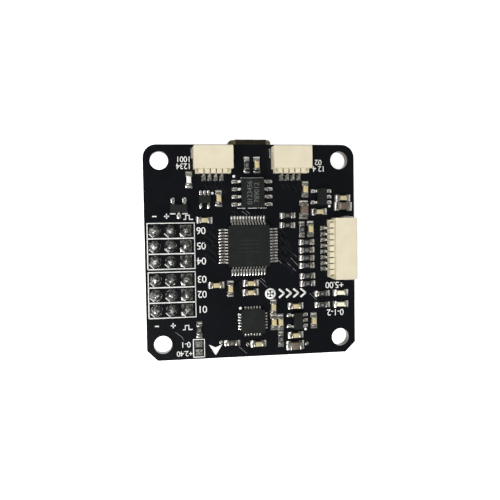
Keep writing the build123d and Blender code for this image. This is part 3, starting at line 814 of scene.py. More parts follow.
@dataclass(frozen=True)
class Finish:
    """One finish: its colours, gloss, grain, wear and dust."""

    name: str
    colour: Colour
    shade: Colour
    roughness: float = 0.4
    gloss_spread: float = 0.08
    metallic: float = 0.0
    patch: float = 0.8
    grain: float = 0.12
    contrast: float = 2.0
    bump: float = 0.1
    wear: float = 0.0
    wear_colour: Colour = (0.5, 0.5, 0.5)
    dust: float = 0.15
    coat: float = 0.0
    specular: float = 0.5
    wear_radius: float = 0.06
    relief_depth: float = 0.03
    dust_colour: Colour = (0.42, 0.40, 0.36)
    dust_roughness: float = 0.4

    def build(self, effects: Effects) -> bpy.types.Material:
        """Make the finish's material.

        Args:
            effects: the shared node groups.

        Returns:
            The material.
        """
        material = bpy.data.materials.new(self.name)
        material.use_nodes = True
        graph = Graph(material.node_tree)
        shader = material.node_tree.nodes["Principled BSDF"]
        shader.inputs["Metallic"].default_value = self.metallic
        shader.inputs["Coat Weight"].default_value = self.coat
        shader.inputs["Specular IOR Level"].default_value = self.specular
        mottle = graph.add(
            "ShaderNodeGroup",
            {"Patch Size": self.patch, "Grain Size": self.grain, "Contrast": self.contrast},
            node_tree=effects.mottle,
        )
        colour = self.tint(graph, graph.mix(mottle.outputs["Mask"], (*self.colour, 1), (*self.shade, 1)))
        if self.wear:
            edge = graph.add(
                "ShaderNodeGroup", {"Amount": self.wear, "Radius": self.wear_radius},
                node_tree=effects.edge,
            )
            colour = graph.mix(edge.outputs[0], colour, (*self.wear_colour, 1))
        grain = mottle.outputs["Grain"]
        low, high = self.roughness - self.gloss_spread, self.roughness + self.gloss_spread
        rough = graph.spread(grain, low, high)
        if self.dust:
            dust = graph.add("ShaderNodeGroup", {"Amount": self.dust}, node_tree=effects.dust)
            colour = graph.mix(dust.outputs[0], colour, (*self.dust_colour, 1))
            rough = graph.math("MULTIPLY_ADD", dust.outputs[0], self.dust_roughness, rough)
        relief = graph.add(
            "ShaderNodeBump",
            {"Strength": self.bump, "Distance": self.relief_depth * MM, "Height": grain},
        )
        results = {"Base Color": colour, "Roughness": rough, "Normal": relief.outputs[0]}
        for label, socket in results.items():
            material.node_tree.links.new(socket, shader.inputs[label])
        return material

    def tint(self, graph: Graph, colour: bpy.types.NodeSocket) -> bpy.types.NodeSocket:
        """The finish's own pattern over its mottled colour, none here."""
        return colour


@dataclass(frozen=True)
class MaskFinish(Finish):
    """Solder mask on the faces, bare glass laminate on the edges and in the mounting holes."""

    edge_colour: Colour = (0.010, 0.009, 0.008)
    fibre_colour: Colour = (0.13, 0.10, 0.075)
    dark_fibre: float = 0.45
    pale_edge: float = 2.0
    hole_offset: float = 15.25
    hole_reach: float = 1.65
    wall_slope: float = 0.5
    layer_stretch: tuple[float, float, float] = (0.4, 0.4, 6.0)
    layers_per_mm: float = 1.6

    def tint(self, graph: Graph, colour: bpy.types.NodeSocket) -> bpy.types.NodeSocket:
        """Mask on what faces up or down, laminate layers on the walls.

        Args:
            graph: the material's graph.
            colour: colour of the mask.

        Returns:
            Colour of the whole board.
        """
        upright = graph.math("ABSOLUTE", graph.upness())
        wall = graph.math("LESS_THAN", upright, self.wall_slope)
        where = graph.where()
        axes = graph.add("ShaderNodeSeparateXYZ", {0: where})
        reach = [
            graph.math("SUBTRACT", graph.math("ABSOLUTE", axes.outputs[i]), self.hole_offset * MM)
            for i in (0, 1)
        ]
        squares = [graph.math("MULTIPLY", value, value) for value in reach]
        in_hole = graph.math(
            "LESS_THAN", graph.math("ADD", *squares), (self.hole_reach * MM) ** 2
        )
        stretched = graph.add("ShaderNodeMapping", {"Vector": where, "Scale": self.layer_stretch})
        layers = graph.noise(stretched.outputs[0], self.layers_per_mm / MM, 3.0)
        dark = tuple(c * self.dark_fibre for c in self.fibre_colour)
        pale = tuple(c * self.pale_edge for c in self.edge_colour)
        fibre = graph.mix(layers, (*dark, 1), (*self.fibre_colour, 1))
        edge = graph.mix(layers, (*self.edge_colour, 1), (*pale, 1))
        return graph.mix(wall, colour, graph.mix(in_hole, edge, fibre))


class Palette:
    """Every material of the board, made once."""

    FINISHES = {
        Surface.MASK: MaskFinish(
            "black_solder_mask", (0.0014, 0.0019, 0.0030), (0.0026, 0.0034, 0.0046),
            roughness=0.25, gloss_spread=0.04, patch=3.0, grain=0.35, bump=0.08, dust=0.0,
            specular=0.2,
        ),
        Surface.PORT: Finish(
            "ivory_nylon", (0.62, 0.57, 0.42), (0.56, 0.50, 0.37), roughness=0.5, patch=2.0,
            grain=0.08, bump=0.25, wear=0.6, wear_colour=(0.78, 0.74, 0.60), dust=0.05,
        ),
        Surface.PORT_METAL: Finish(
            "tinned_contact", (0.78, 0.76, 0.70), (0.50, 0.48, 0.42), roughness=0.28, metallic=1.0,
            patch=0.4, grain=0.1, bump=0.2, dust=0.0,
        ),
        Surface.HEADER: Finish(
            "black_header_nylon", (0.012, 0.012, 0.013), (0.018, 0.018, 0.019), roughness=0.45,
            grain=0.1, bump=0.3, wear=0.25, wear_colour=(0.06, 0.06, 0.06),
        ),
        Surface.PIN: Finish(
            "gold_flash", (0.86, 0.62, 0.26), (0.72, 0.50, 0.22), roughness=0.24, metallic=1.0,
            patch=0.6, dust=0.0,
        ),
        Surface.SOLDER: Finish(
            "solder_joint", (0.66, 0.65, 0.61), (0.32, 0.31, 0.28), roughness=0.25, metallic=1.0,
            patch=0.6, grain=0.2, contrast=2.2, bump=0.2, dust=0.02,
        ),
        # Painted shade: the shell's nickel is coloured dark brown to stand in for the shadow under the
        # board.
        Surface.USB: Finish(
            "darkened_nickel", (0.085, 0.072, 0.042), (0.05, 0.042, 0.024), roughness=0.33, metallic=1.0,
            patch=1.2, grain=0.07, bump=0.15, wear=0.3, wear_colour=(0.2, 0.18, 0.13), dust=0.02,
        ),
        Surface.USB_PLASTIC: Finish(
            "socket_plastic", (0.014, 0.014, 0.014), (0.02, 0.02, 0.02), roughness=0.5, bump=0.3,
        ),
        Surface.CHIP: Finish(
            "moulded_epoxy", (0.0066, 0.0082, 0.0074), (0.0112, 0.0132, 0.0120), roughness=0.55,
            gloss_spread=0.06, patch=1.6, grain=0.045, bump=0.5, wear=0.35,
            wear_colour=(0.035, 0.04, 0.038), dust=0.0, specular=0.1,
        ),
        Surface.LEAD: Finish(
            "tinned_lead", (0.66, 0.65, 0.60), (0.34, 0.33, 0.30), roughness=0.24, metallic=1.0,
            patch=0.3, grain=0.08, bump=0.2, dust=0.0,
        ),
        Surface.TAN: Finish(
            "tan_ceramic", (0.50, 0.39, 0.20), (0.36, 0.33, 0.19), roughness=0.5, patch=2.6,
            grain=0.05, contrast=3.5, bump=0.35, dust=0.05,
        ),
        Surface.BROWN: Finish(
            "brown_ceramic", (0.115, 0.078, 0.054), (0.078, 0.052, 0.036), roughness=0.5, patch=0.7,
            grain=0.05, bump=0.35, dust=0.08,
        ),
        Surface.END: Finish(
            "tinned_end", (0.50, 0.48, 0.43), (0.22, 0.21, 0.18), roughness=0.27, metallic=1.0,
            patch=0.6, grain=0.1, contrast=2.6, bump=0.15, dust=0.0,
        ),
        Surface.RESISTOR: Finish(
            "resistor_glaze", (0.012, 0.012, 0.014), (0.02, 0.02, 0.022), roughness=0.3, patch=0.5,
            grain=0.06, bump=0.2, wear=0.3, wear_colour=(0.2, 0.2, 0.2), specular=0.2,
        ),
        Surface.FUSE: Finish(
            "white_ceramic", (0.78, 0.78, 0.75), (0.66, 0.66, 0.62), roughness=0.5, grain=0.05, bump=0.3,
        ),
        Surface.LIGHT_BASE: Finish(
            "light_base_laminate", (0.80, 0.79, 0.72), (0.70, 0.68, 0.60), roughness=0.45, bump=0.2,
        ),
        Surface.LENS: Finish(
            "clear_yellow_resin", (0.70, 0.67, 0.46), (0.80, 0.78, 0.62), roughness=0.18,
            gloss_spread=0.04, patch=0.5, bump=0.08, dust=0.03, coat=0.5,
        ),
        Surface.CRYSTAL_BASE: Finish(
            "crystal_ceramic", (0.10, 0.085, 0.075), (0.07, 0.06, 0.055), roughness=0.6, bump=0.3,
        ),
        Surface.CRYSTAL: Finish(
            "crystal_nickel", (0.74, 0.70, 0.60), (0.62, 0.58, 0.48), roughness=0.3, metallic=1.0,
            patch=1.5, grain=0.05, bump=0.15, wear=0.2, wear_colour=(0.85, 0.83, 0.78), dust=0.0,
        ),
        Surface.PAD: Finish(
            "tinned_pad", (0.46, 0.45, 0.40), (0.17, 0.17, 0.15), roughness=0.26, metallic=1.0,
            patch=0.3, grain=0.1, bump=0.3, dust=0.04,
        ),
    }
    INK = Finish(
        "white_print", (0.80, 0.81, 0.78), (0.66, 0.67, 0.64), roughness=0.6, patch=0.25, grain=0.06,
        contrast=3.0, bump=0.4, dust=0.05,
    )
    TRACK = Finish(
        "masked_copper", (0.0016, 0.0021, 0.0032), (0.0028, 0.0036, 0.0048), roughness=0.38, patch=1.5,
        grain=0.3, dust=0.0, specular=0.1,
    )
    # Painted highlight: this bright colour stands in for light glinting off track edges under the mask.
    GLINT = Finish(
        "bright_track_edge", (0.16, 0.17, 0.17), (0.05, 0.055, 0.06), roughness=0.3,
        grain=0.2, contrast=3.0, dust=0.0,
    )
    CODE = Finish(
        "glaze_code", (0.34, 0.35, 0.33), (0.20, 0.21, 0.20), roughness=0.6, patch=0.3, dust=0.0,
    )
    FAINT = Finish(
        "faint_mark", (0.034, 0.038, 0.035), (0.014, 0.016, 0.015), roughness=0.6, patch=0.3,
        grain=0.05, bump=0.3, dust=0.0, specular=0.1,
    )
    ETCH = Finish(
        "laser_mark", (0.12, 0.13, 0.12), (0.03, 0.036, 0.033), roughness=0.65, patch=0.2,
        grain=0.05, bump=0.3, dust=0.0,
    )
    ALUMINA = Finish(
        "alumina_slab", (0.70, 0.70, 0.67), (0.58, 0.58, 0.55), roughness=0.6, grain=0.05, bump=0.3,
    )
    JOINT = Finish(
        "dull_solder_joint", (0.42, 0.42, 0.40), (0.055, 0.06, 0.058), roughness=0.26, metallic=1.0,
        gloss_spread=0.12, patch=0.42, grain=0.2, contrast=4.5, bump=0.7, dust=0.01,
    )

    def __init__(self) -> None:
        """Make the materials."""
        effects = Effects()
        self.by_surface = {key: finish.build(effects) for key, finish in self.FINISHES.items()}
        self.ink = self.INK.build(effects)
        self.track = self.TRACK.build(effects)
        self.etch = self.ETCH.build(effects)
        self.alumina = self.ALUMINA.build(effects)
        self.joint = self.JOINT.build(effects)
        self.glint = self.GLINT.build(effects)
        self.code = self.CODE.build(effects)
        self.faint = self.FAINT.build(effects)

    def __getitem__(self, surface: Surface) -> bpy.types.Material:
        """The material of a record slot."""
        return self.by_surface[surface]


# ------------------------------------------------------------------ the workshop: what every piece needs
@dataclass(frozen=True)
class Place:
    """Where one copy stands: a point and a turn about the upright axis, in degrees."""

    x: float
    y: float
    z: float
    turn: float = 0.0
    side: Side = Side.TOP


@dataclass
class Workshop:
    """The palette and the growth trees, with the steps that finish every piece."""

    palette: Palette = field(default_factory=Palette)
    growth: Growth = field(default_factory=Growth)
    seed: int = 7

    def keep(self, piece: bpy.types.Object, surface: Surface, *nodes: str) -> bpy.types.Object:
        """Give a piece its body, and let it stand for CAD nodes.

        Args:
            piece: the piece, in the scene and in place.
            surface: not used.
            nodes: CAD nodes that it replaces.

        Returns:
            The piece.
        """
        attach(piece, BODY)
        if nodes:
            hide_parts(*nodes)
        log.info("%s: %d faces", piece.name, len(piece.data.polygons))
        return piece

    def show(self, piece: bpy.types.Object, material: bpy.types.Material) -> bpy.types.Object:
        """Put a piece in the scene with one material.

        Args:
            piece: the piece.
            material: its material.

        Returns:
            The piece.
        """
        piece.data.materials.clear()
        piece.data.materials.append(material)
        bpy.context.scene.collection.objects.link(piece)
        return piece

    def soften(
        self, name: str, node: str, surface: Surface, radius: float, segments: int = 2
    ) -> bpy.types.Object:
        """Stand in for a CAD node with a copy whose edges are rounded.

        Args:
            name: name of the piece.
            node: the CAD node.
            surface: its record slot.
            radius: radius of its edges.
            segments: number of faces round each edge.

        Returns:
            The piece.
        """
        piece = self.show(to_object(name, merged_copy(node), SHARP_ANGLE), self.palette[surface])
        bevel = piece.modifiers.new("round", "BEVEL")
        bevel.width = radius * MM
        bevel.segments = segments
        bevel.limit_method = "ANGLE"
        bevel.angle_limit = math.radians(SHARP_ANGLE)
        bevel.harden_normals = True
        ready = piece.evaluated_get(bpy.context.evaluated_depsgraph_get())
        rounded = bpy.data.meshes.new_from_object(ready)
        piece.modifiers.clear()
        piece.data = rounded
        return self.keep(piece, surface, node)

    def repeat(
        self, name: str, template: bmesh.types.BMesh, places: Sequence[Place],
        material: bpy.types.Material, turn_spread: float = 0.0, size_spread: float = 0.0,
        lumps: float = 0.0, lump_size: float = 1.0, smooth: float = 35.0,
    ) -> bpy.types.Object:
        """Put copies of a shape at places.

        Args:
            name: name of the piece.
            template: the shape, standing on its own origin.
            places: where the copies stand.
            material: their material.
            turn_spread: how far a copy may be turned from its place, in degrees.
            size_spread: share by which a copy may be larger or smaller.
            lumps: how far the surface is pushed out of true.
            lump_size: size of those lumps.
            smooth: edges sharper than this angle, in degrees, stay sharp.

        Returns:
            One object of all the copies, in the scene.
        """
        mould = to_object(name + "_mould", template, smooth)
        data = bpy.data.meshes.new(name)
        data.from_pydata([(p.x * MM, p.y * MM, p.z * MM) for p in places], [], [])
        turns = data.attributes.new(TURNS, "FLOAT_VECTOR", "POINT")
        for item, place in zip(turns.data, places):
            tilt = math.pi if place.side is Side.BOTTOM else 0.0
            item.vector = (tilt, 0.0, math.radians(place.turn))
        self.seed += 1
        piece = grow(
            bpy.data.objects.new(name, data),
            self.growth.copies,
            {
                "Template": mould, "Turn Spread": math.radians(turn_spread), "Size Spread": size_spread,
                "Lumps": lumps * MM, "Lump Size": lump_size * MM, "Seed": self.seed, "Finish": material,
            },
        )
        bpy.data.objects.remove(mould)
        return piece

    def stroke(
        self, name: str, runs: Sequence[Sequence[Point]], level: float, width: float, thickness: float,
        material: bpy.types.Material, corner: float = 0.1,
    ) -> bpy.types.Object:
        """Draw flat strokes along runs of points.

        Args:
            name: name of the piece.
            runs: each stroke's points.
            level: level of the strokes' underside.
            width: their width.
            thickness: their thickness.
            material: their material.
            corner: radius of their corners.

        Returns:
            One object of all the strokes, in the scene.
        """
        points, edges = [], []
        for run in runs:
            first = len(points)
            points.extend((x * MM, y * MM, level * MM) for x, y in run)
            edges.extend((i, i + 1) for i in range(first, first + len(run) - 1))
        data = bpy.data.meshes.new(name)
        data.from_pydata(points, edges, [])
        return grow(
            bpy.data.objects.new(name, data),
            self.growth.strokes,
            {
                "Width": width * MM, "Thickness": thickness * MM, "Corner": corner * MM,
                "Finish": material,
            },
        )


# ------------------------------------------------------------------ solder shapes
@dataclass(frozen=True)
class Foot:
    """Solder and pad under one lead: a bright plate with a toe, a heel and a crown."""

    length: float
    width: float
    crown: float
    plate: float = 0.03
    end_slope: float = 5.0
    side_power: float = 2.5
    cells: tuple[int, int] = (8, 4)

    def height(self, along: float, across: float) -> float:
        """Height of the foot at its shares along (0 to 1) and across (-1 to 1)."""
        ends = min(1.0, self.end_slope * min(along, 1 - along))
        return self.plate + self.crown * ends * (1 - abs(across) ** self.side_power)

    def mesh(self, start: float) -> bmesh.types.BMesh:
        """The foot's mesh, from a start along X."""
        return mound(start, self.length, self.width, self.height, self.cells)


@dataclass(frozen=True)
class Wedge:
    """Solder that climbs one end of a two-terminal part from its pad."""

    reach: float
    width: float
    climb: float
    plate: float = 0.03
    hollow_power: float = 2.2
    side_fall: float = 0.5
    side_power: float = 3.0
    cells: tuple[int, int] = (7, 6)

    def height(self, along: float, across: float) -> float:
        """Height of the wedge at its shares along (0 to 1) and across (-1 to 1)."""
        hollow = (1 - along) ** self.hollow_power
        return self.plate + self.climb * hollow * (1 - self.side_fall * abs(across) ** self.side_power)

    def mesh(self, start: float) -> bmesh.types.BMesh:
        """The wedge's mesh, climbing towards lower X from its outer end."""
        return mound(start, self.reach, self.width, self.height, self.cells)


# ------------------------------------------------------------------ chips
@dataclass(frozen=True)
class GullWing:
    """The bends of a chip's lead, from the body's wall outwards."""

    root: float = 0.08
    shoulder: float = 0.2
    foot_start: float = 0.36
    bend_radius: float = 0.14
    long_reach: float = 1.02
    thin_metal: float = 0.15
    thick_metal: float = 0.2

    def mesh(self, reach: float, rise: float, width: float) -> bmesh.types.BMesh:
        """One lead that runs along +X.

        Args:
            reach: how far it stands out from the wall.
            rise: height of its top over the board.
            width: its width.

        Returns:
            Its mesh, in metres.
        """
        metal = self.thin_metal if reach < self.long_reach else self.thick_metal
        half = metal / 2
        corners = [
            (-self.root, rise - half), (self.shoulder, rise - half),
            (self.foot_start, half), (reach, half),
        ]
        return bent_strip(corners, width, metal, self.bend_radius)


@dataclass(frozen=True)
class Etching:
    """Sizes of the faint digits and dashes on a chip's top."""

    depth: float = 0.004
    code_height: float = 0.9
    code_pitch: float = 1.15
    row_pitch: float = 0.62
    left_share: float = 0.28
    right_share: float = 0.26
    line: float = 0.16
    shortest_dash: float = 0.12
    longest_dash: float = 0.4
    gap: float = 0.14


@dataclass
class LeadedChip:
    """A moulded chip with gull-wing leads."""

    name: str
    foot_reach: float = 0.45
    foot_overlap: float = 0.55
    foot_margin: float = 0.06
    foot_crown: float = 0.07
    edge_radius: float = 0.06
    marks: int = 0
    codes: tuple[str, ...] = ()
    lead_shape: GullWing = GullWing()
    etching: Etching = Etching()

    def _lead_places(self) -> tuple[list[Place], Span]:
        """Find the leads.

        Returns:
            Their places at the body's wall, facing outwards, and one lead's box.
        """
        body = span_of(self.name + "_body")
        leads = solids_of(self.name + "_leads")
        places = []
        for lead in leads:
            x, y = lead.centre.x, lead.centre.y
            if x > body.high.x:
                places.append(Place(lead.low.x, y, lead.low.z, 0))
            elif x < body.low.x:
                places.append(Place(lead.high.x, y, lead.low.z, 180))
            elif y > body.high.y:
                places.append(Place(x, lead.low.y, lead.low.z, 90))
            else:
                places.append(Place(x, lead.high.y, lead.low.z, -90))
        return places, leads[0]

    def build(self, shop: Workshop) -> None:
        """Make the body, the leads, the solder and the faint marks.

        Args:
            shop: the workshop.
        """
        palette = shop.palette
        shop.soften(self.name, self.name + "_body", Surface.CHIP, self.edge_radius)
        places, lead = self._lead_places()
        width = min(lead.size.x, lead.size.y)
        reach = max(lead.size.x, lead.size.y)
        strip = self.lead_shape.mesh(reach, lead.size.z, width)
        leads = shop.repeat(self.name + "_lead_row", strip, places, palette[Surface.LEAD])
        shop.keep(leads, Surface.LEAD, self.name + "_leads")
        foot = Foot(self.foot_overlap + self.foot_reach, width + self.foot_margin, self.foot_crown)
        solder = shop.repeat(
            self.name + "_solder", foot.mesh(reach - self.foot_overlap), places,
            palette[Surface.SOLDER], size_spread=0.03, lumps=0.02, lump_size=0.3,
        )
        shop.keep(solder, Surface.SOLDER)
        if self.marks:
            self._mark(shop)
        for row, text in enumerate(self.codes):
            self._code(shop, row, text)

    def _code(self, shop: Workshop, row: int, text: str) -> None:
        """Etch one row of plain digits that runs along the body.

        Args:
            shop: the workshop.
            row: its row, from the left.
            text: the digits.
        """
        body = span_of(self.name + "_body")
        digits = figures(text, self.etching.code_height, 0, self.etching.depth)
        bmesh.ops.rotate(digits, verts=digits.verts, matrix=Matrix.Rotation(-math.pi / 2, 3, "Z"))
        aside = (row - (len(self.codes) - 1) / 2) * self.etching.code_pitch
        middle = Vector((body.centre.x + aside, body.centre.y, body.high.z)) * MM
        bmesh.ops.translate(digits, verts=digits.verts, vec=middle)
        etched = shop.show(to_object(f"{self.name}_code_{row + 1}", digits), shop.palette.etch)
        shop.keep(etched, Surface.CHIP)

    def _mark(self, shop: Workshop) -> None:
        """Etch rows of short dashes on the body's top, in place of lettering.

        Args:
            shop: the workshop.
        """
        etching = self.etching
        body = span_of(self.name + "_body")
        rng = random.Random(len(self.name))
        step = min(etching.row_pitch, body.size.y / (self.marks + 2))
        last = body.centre.x + body.size.x * etching.right_share
        runs = []
        for row in range(self.marks):
            y = body.centre.y + (row - (self.marks - 1) / 2) * step
            x = body.centre.x - body.size.x * etching.left_share
            while x < last:
                dash = rng.uniform(etching.shortest_dash, etching.longest_dash)
                runs.append([(x, y), (x + dash, y)])
                x += dash + etching.gap
        marks = shop.stroke(
            self.name + "_marks", runs, body.high.z, etching.line, etching.depth,
            shop.palette.faint, 0.0,
        )
        shop.keep(marks, Surface.CHIP)


@dataclass
class MotionSensor:
    """A flat leadless chip with pads round its underside."""

    edge_radius: float = 0.04
    wall_slack: float = 0.05
    pad_size: tuple[float, float, float] = (0.6, 0.24, 0.2)
    solder_start: float = 0.28
    solder_width: float = 0.28
    solder_reach: float = 0.24
    solder_climb: float = 0.10

    def build(self, shop: Workshop) -> None:
        """Make the body, its pads and the solder at them.

        Args:
            shop: the workshop.
        """
        shop.soften("motion_sensor", "motion_sensor_body", Surface.CHIP, self.edge_radius)
        body = span_of("motion_sensor_body")
        places = []
        for pad in solids_of("motion_sensor_pads"):
            x, y = pad.centre.x, pad.centre.y
            if x > body.high.x - self.wall_slack:
                places.append(Place(body.high.x, y, pad.low.z, 0))
            elif x < body.low.x + self.wall_slack:
                places.append(Place(body.low.x, y, pad.low.z, 180))
            elif y > body.high.y - self.wall_slack:
                places.append(Place(x, body.high.y, pad.low.z, 90))
            else:
                places.append(Place(x, body.low.y, pad.low.z, -90))
        plate = block(self.pad_size, soft=0.02)
        pads = shop.repeat("motion_sensor_contacts", plate, places, shop.palette[Surface.LEAD])
        shop.keep(pads, Surface.LEAD, "motion_sensor_pads")
        wedge = Wedge(self.solder_reach, self.solder_width, self.solder_climb)
        solder = shop.repeat(
            "motion_sensor_solder", wedge.mesh(self.solder_start), places, shop.palette[Surface.SOLDER],
            size_spread=0.05, lumps=0.02, lump_size=0.25,
        )
        shop.keep(solder, Surface.SOLDER)


# ------------------------------------------------------------------ two-terminal parts
@dataclass
class TerminalParts:
    """Like two-terminal parts: ceramic middles, metal ends and the solder that holds them."""

    name: str
    middle: Surface
    pad_length: float = 2.8
    pad_width: float = 1.1
    climb: float = 0.5
    side: Side = Side.TOP
    turn_spread: float = 1.5
    glazed: bool = False
    end_share: float = 0.78
    end_radius: float = 0.07
    end_overlap: float = 0.02
    solder_overlap: float = 0.01
    plate: float = 0.03
    tuck: float = 0.04
    recess: float = 0.06
    slab_share: float = 0.72
    glaze_level: float = 0.7
    glaze_share: float = 0.26
    glaze_tuck: float = -0.02
    glaze_recess: float = 0.04
    code: str = "10"
    code_share: float = 0.55
    code_level: float = 0.955
    code_thickness: float = 0.012

    def build(self, shop: Workshop) -> None:
        """Make the middles, the ends and the solder.

        Args:
            shop: the workshop.
        """
        middles = solids_of(self.name + "_bodies")
        caps = solids_of(self.name + "_caps")
        end = caps[0]
        cap_length, width = sorted((end.size.x, end.size.y))
        turns = [middle.turn_to(caps) for middle in middles]
        middle_length = middles[0].size.y if turns[0] else middles[0].size.x
        height = end.size.z
        base = end.low.z if self.side is Side.TOP else end.high.z
        places = [
            Place(m.centre.x, m.centre.y, base, turn, self.side) for m, turn in zip(middles, turns)
        ]
        length = middle_length + 2 * cap_length
        cap_length *= self.end_share
        middle_length = length - 2 * cap_length
        seed = shop.seed
        self._middles(shop, places, middle_length, width, height)
        shop.seed = seed
        pair = join_all(
            block(
                (cap_length + self.end_overlap, width, height), (s * (length - cap_length) / 2, 0),
                soft=self.end_radius,
            )
            for s in (-1, 1)
        )
        ends = shop.repeat(
            self.name + "_ends", pair, places, shop.palette[Surface.END], self.turn_spread,
            lumps=0.01, lump_size=0.5,
        )
        shop.keep(ends, Surface.END, self.name + "_caps")
        shop.seed = seed
        reach = (self.pad_length - length) / 2
        wedge = Wedge(reach, self.pad_width, height * self.climb)
        under = ((length - cap_length) / 2, 0)
        flow = []
        for half_turn in (0.0, math.pi):
            pad = block((cap_length, self.pad_width, self.plate), under, soft=0.0)
            side = join_all([wedge.mesh(length / 2 - self.solder_overlap), pad])
            bmesh.ops.rotate(side, verts=side.verts, matrix=Matrix.Rotation(half_turn, 3, "Z"))
            flow.append(side)
        solder = shop.repeat(
            self.name + "_solder", join_all(flow), places, shop.palette[Surface.SOLDER],
            self.turn_spread, lumps=0.02, lump_size=0.5,
        )
        shop.keep(solder, Surface.SOLDER)

    def _middles(
        self, shop: Workshop, places: list[Place], length: float, width: float, height: float
    ) -> None:
        """Make the ceramic middles, with a dark glaze on a pale slab where the part has one.

        Args:
            shop: the workshop.
            places: where the parts stand.
            length: length of a middle between its ends.
            width: width of an end.
            height: height of an end.
        """
        if not self.glazed:
            size = (length + self.tuck, width - self.recess, height - self.tuck)
            shape = block(size, soft=0.05)
            middles = shop.repeat(
                self.name + "_ceramic", shape, places, shop.palette[self.middle], self.turn_spread
            )
            shop.keep(middles, self.middle, self.name + "_bodies")
            return
        seed = shop.seed
        slab = block((length + self.tuck, width - self.recess, height * self.slab_share))
        slabs = shop.repeat(self.name + "_slabs", slab, places, shop.palette.alumina, self.turn_spread)
        shop.keep(slabs, self.middle)
        shop.seed = seed
        size = (length + self.glaze_tuck, width - self.glaze_recess, height * self.glaze_share)
        coat = block(size, base=height * self.glaze_level)
        glaze = shop.repeat(
            self.name + "_glaze", coat, places, shop.palette[self.middle], self.turn_spread
        )
        shop.keep(glaze, self.middle, self.name + "_bodies")
        shop.seed = seed
        size, level = width * self.code_share, height * self.code_level
        code = figures(self.code, size, level, self.code_thickness)
        codes = shop.repeat(self.name + "_codes", code, places, shop.palette.code, self.turn_spread)
        shop.keep(codes, self.middle)


@dataclass
class StatusLight:
    """A small light: a base with metal ends and a clear lens over it."""

    name: str
    climb: float = 0.9
    lens_radius: float = 0.08

    def build(self, shop: Workshop) -> None:
        """Make the base and ends as a two-terminal part, and the lens over them.

        Args:
            shop: the workshop.
        """
        TerminalParts(self.name, Surface.LIGHT_BASE, climb=self.climb, turn_spread=0.0).build(shop)
        shop.soften(self.name + "_dome", self.name + "_lens", Surface.LENS, self.lens_radius, 3)


# ------------------------------------------------------------------ side-entry ports
@dataclass
class Port:
    """A side-entry port: housing, contacts, solder tabs and the solder at both."""

    name: str
    housing_radius: float = 0.06
    tab_radius: float = 0.03
    foot_length: float = 0.9
    foot_width: float = 0.72
    foot_crown: float = 0.27
    foot_start: float = 0.3
    exit_height: float = 0.4
    drop_from_toe: float = 2.125
    bend_from_toe: float = 0.725
    heel: float = 0.15
    bend_radius: float = 0.1
    metal: float = 0.25
    tab_solder: Wedge = Wedge(0.1, 1.5, 0.2)
    tab_solder_start: float = 0.2

    def build(self, shop: Workshop) -> None:
        """Make the port's pieces.

        Args:
            shop: the workshop.
        """
        shop.soften(
            self.name + "_shell", self.name + "_housing", Surface.PORT, self.housing_radius, 3
        )
        shop.soften(
            self.name + "_tabs", self.name + "_solder_tabs", Surface.PORT_METAL, self.tab_radius
        )
        housing = span_of(self.name + "_housing")
        contacts = solids_of(self.name + "_contacts")
        first = contacts[0]
        along_y = first.lies_along_y
        half = self.metal / 2
        run = first.size.y if along_y else first.size.x
        width = first.size.x if along_y else first.size.y
        top = first.size.z - half
        low = self.exit_height + half
        drop, bend = run - self.drop_from_toe, run - self.bend_from_toe
        corners = [
            (0, top), (drop, top), (drop, low), (bend, low), (bend + self.heel, half), (run, half),
        ]
        strip = bent_strip(corners, width, self.metal, self.bend_radius)
        if along_y:
            ends = [Place(c.centre.x, c.high.y, c.low.z, -90) for c in contacts]
            places = [Place(c.centre.x, housing.low.y, c.low.z, -90) for c in contacts]
        else:
            ends = [Place(c.high.x, c.centre.y, c.low.z, 180) for c in contacts]
            places = [Place(housing.low.x, c.centre.y, c.low.z, 180) for c in contacts]
        metal = shop.palette[Surface.PORT_METAL]
        pins = shop.repeat(self.name + "_pins", strip, ends, metal)
        shop.keep(pins, Surface.PORT_METAL, self.name + "_contacts")
        foot = Foot(self.foot_length, self.foot_width, self.foot_crown)
        joints = shop.repeat(
            self.name + "_contact_solder", foot.mesh(self.foot_start), places,
            shop.palette[Surface.SOLDER], size_spread=0.02, lumps=0.03, lump_size=0.35,
        )
        shop.keep(joints, Surface.SOLDER)
        self._tab_solder(shop, housing)

    def _tab_solder(self, shop: Workshop, housing: Span) -> None:
        """Pour the solder round the two tabs.

        Args:
            shop: the workshop.
            housing: the housing's box.
        """
        places = []
        for tab in solids_of(self.name + "_solder_tabs"):
            away = tab.centre - housing.centre
            if tab.lies_along_y:
                turn = 0.0 if away.x > 0 else 180.0
                edge = tab.low.x if away.x > 0 else tab.high.x
                places.append(Place(edge, tab.centre.y, tab.low.z, turn))
            else:
                turn = 90.0 if away.y > 0 else -90.0
                edge = tab.low.y if away.y > 0 else tab.high.y
                places.append(Place(tab.centre.x, edge, tab.low.z, turn))
        solder = shop.repeat(
            self.name + "_tab_solder", self.tab_solder.mesh(self.tab_solder_start), places,
            shop.palette[Surface.SOLDER], lumps=0.05, lump_size=0.6,
        )
        shop.keep(solder, Surface.SOLDER)


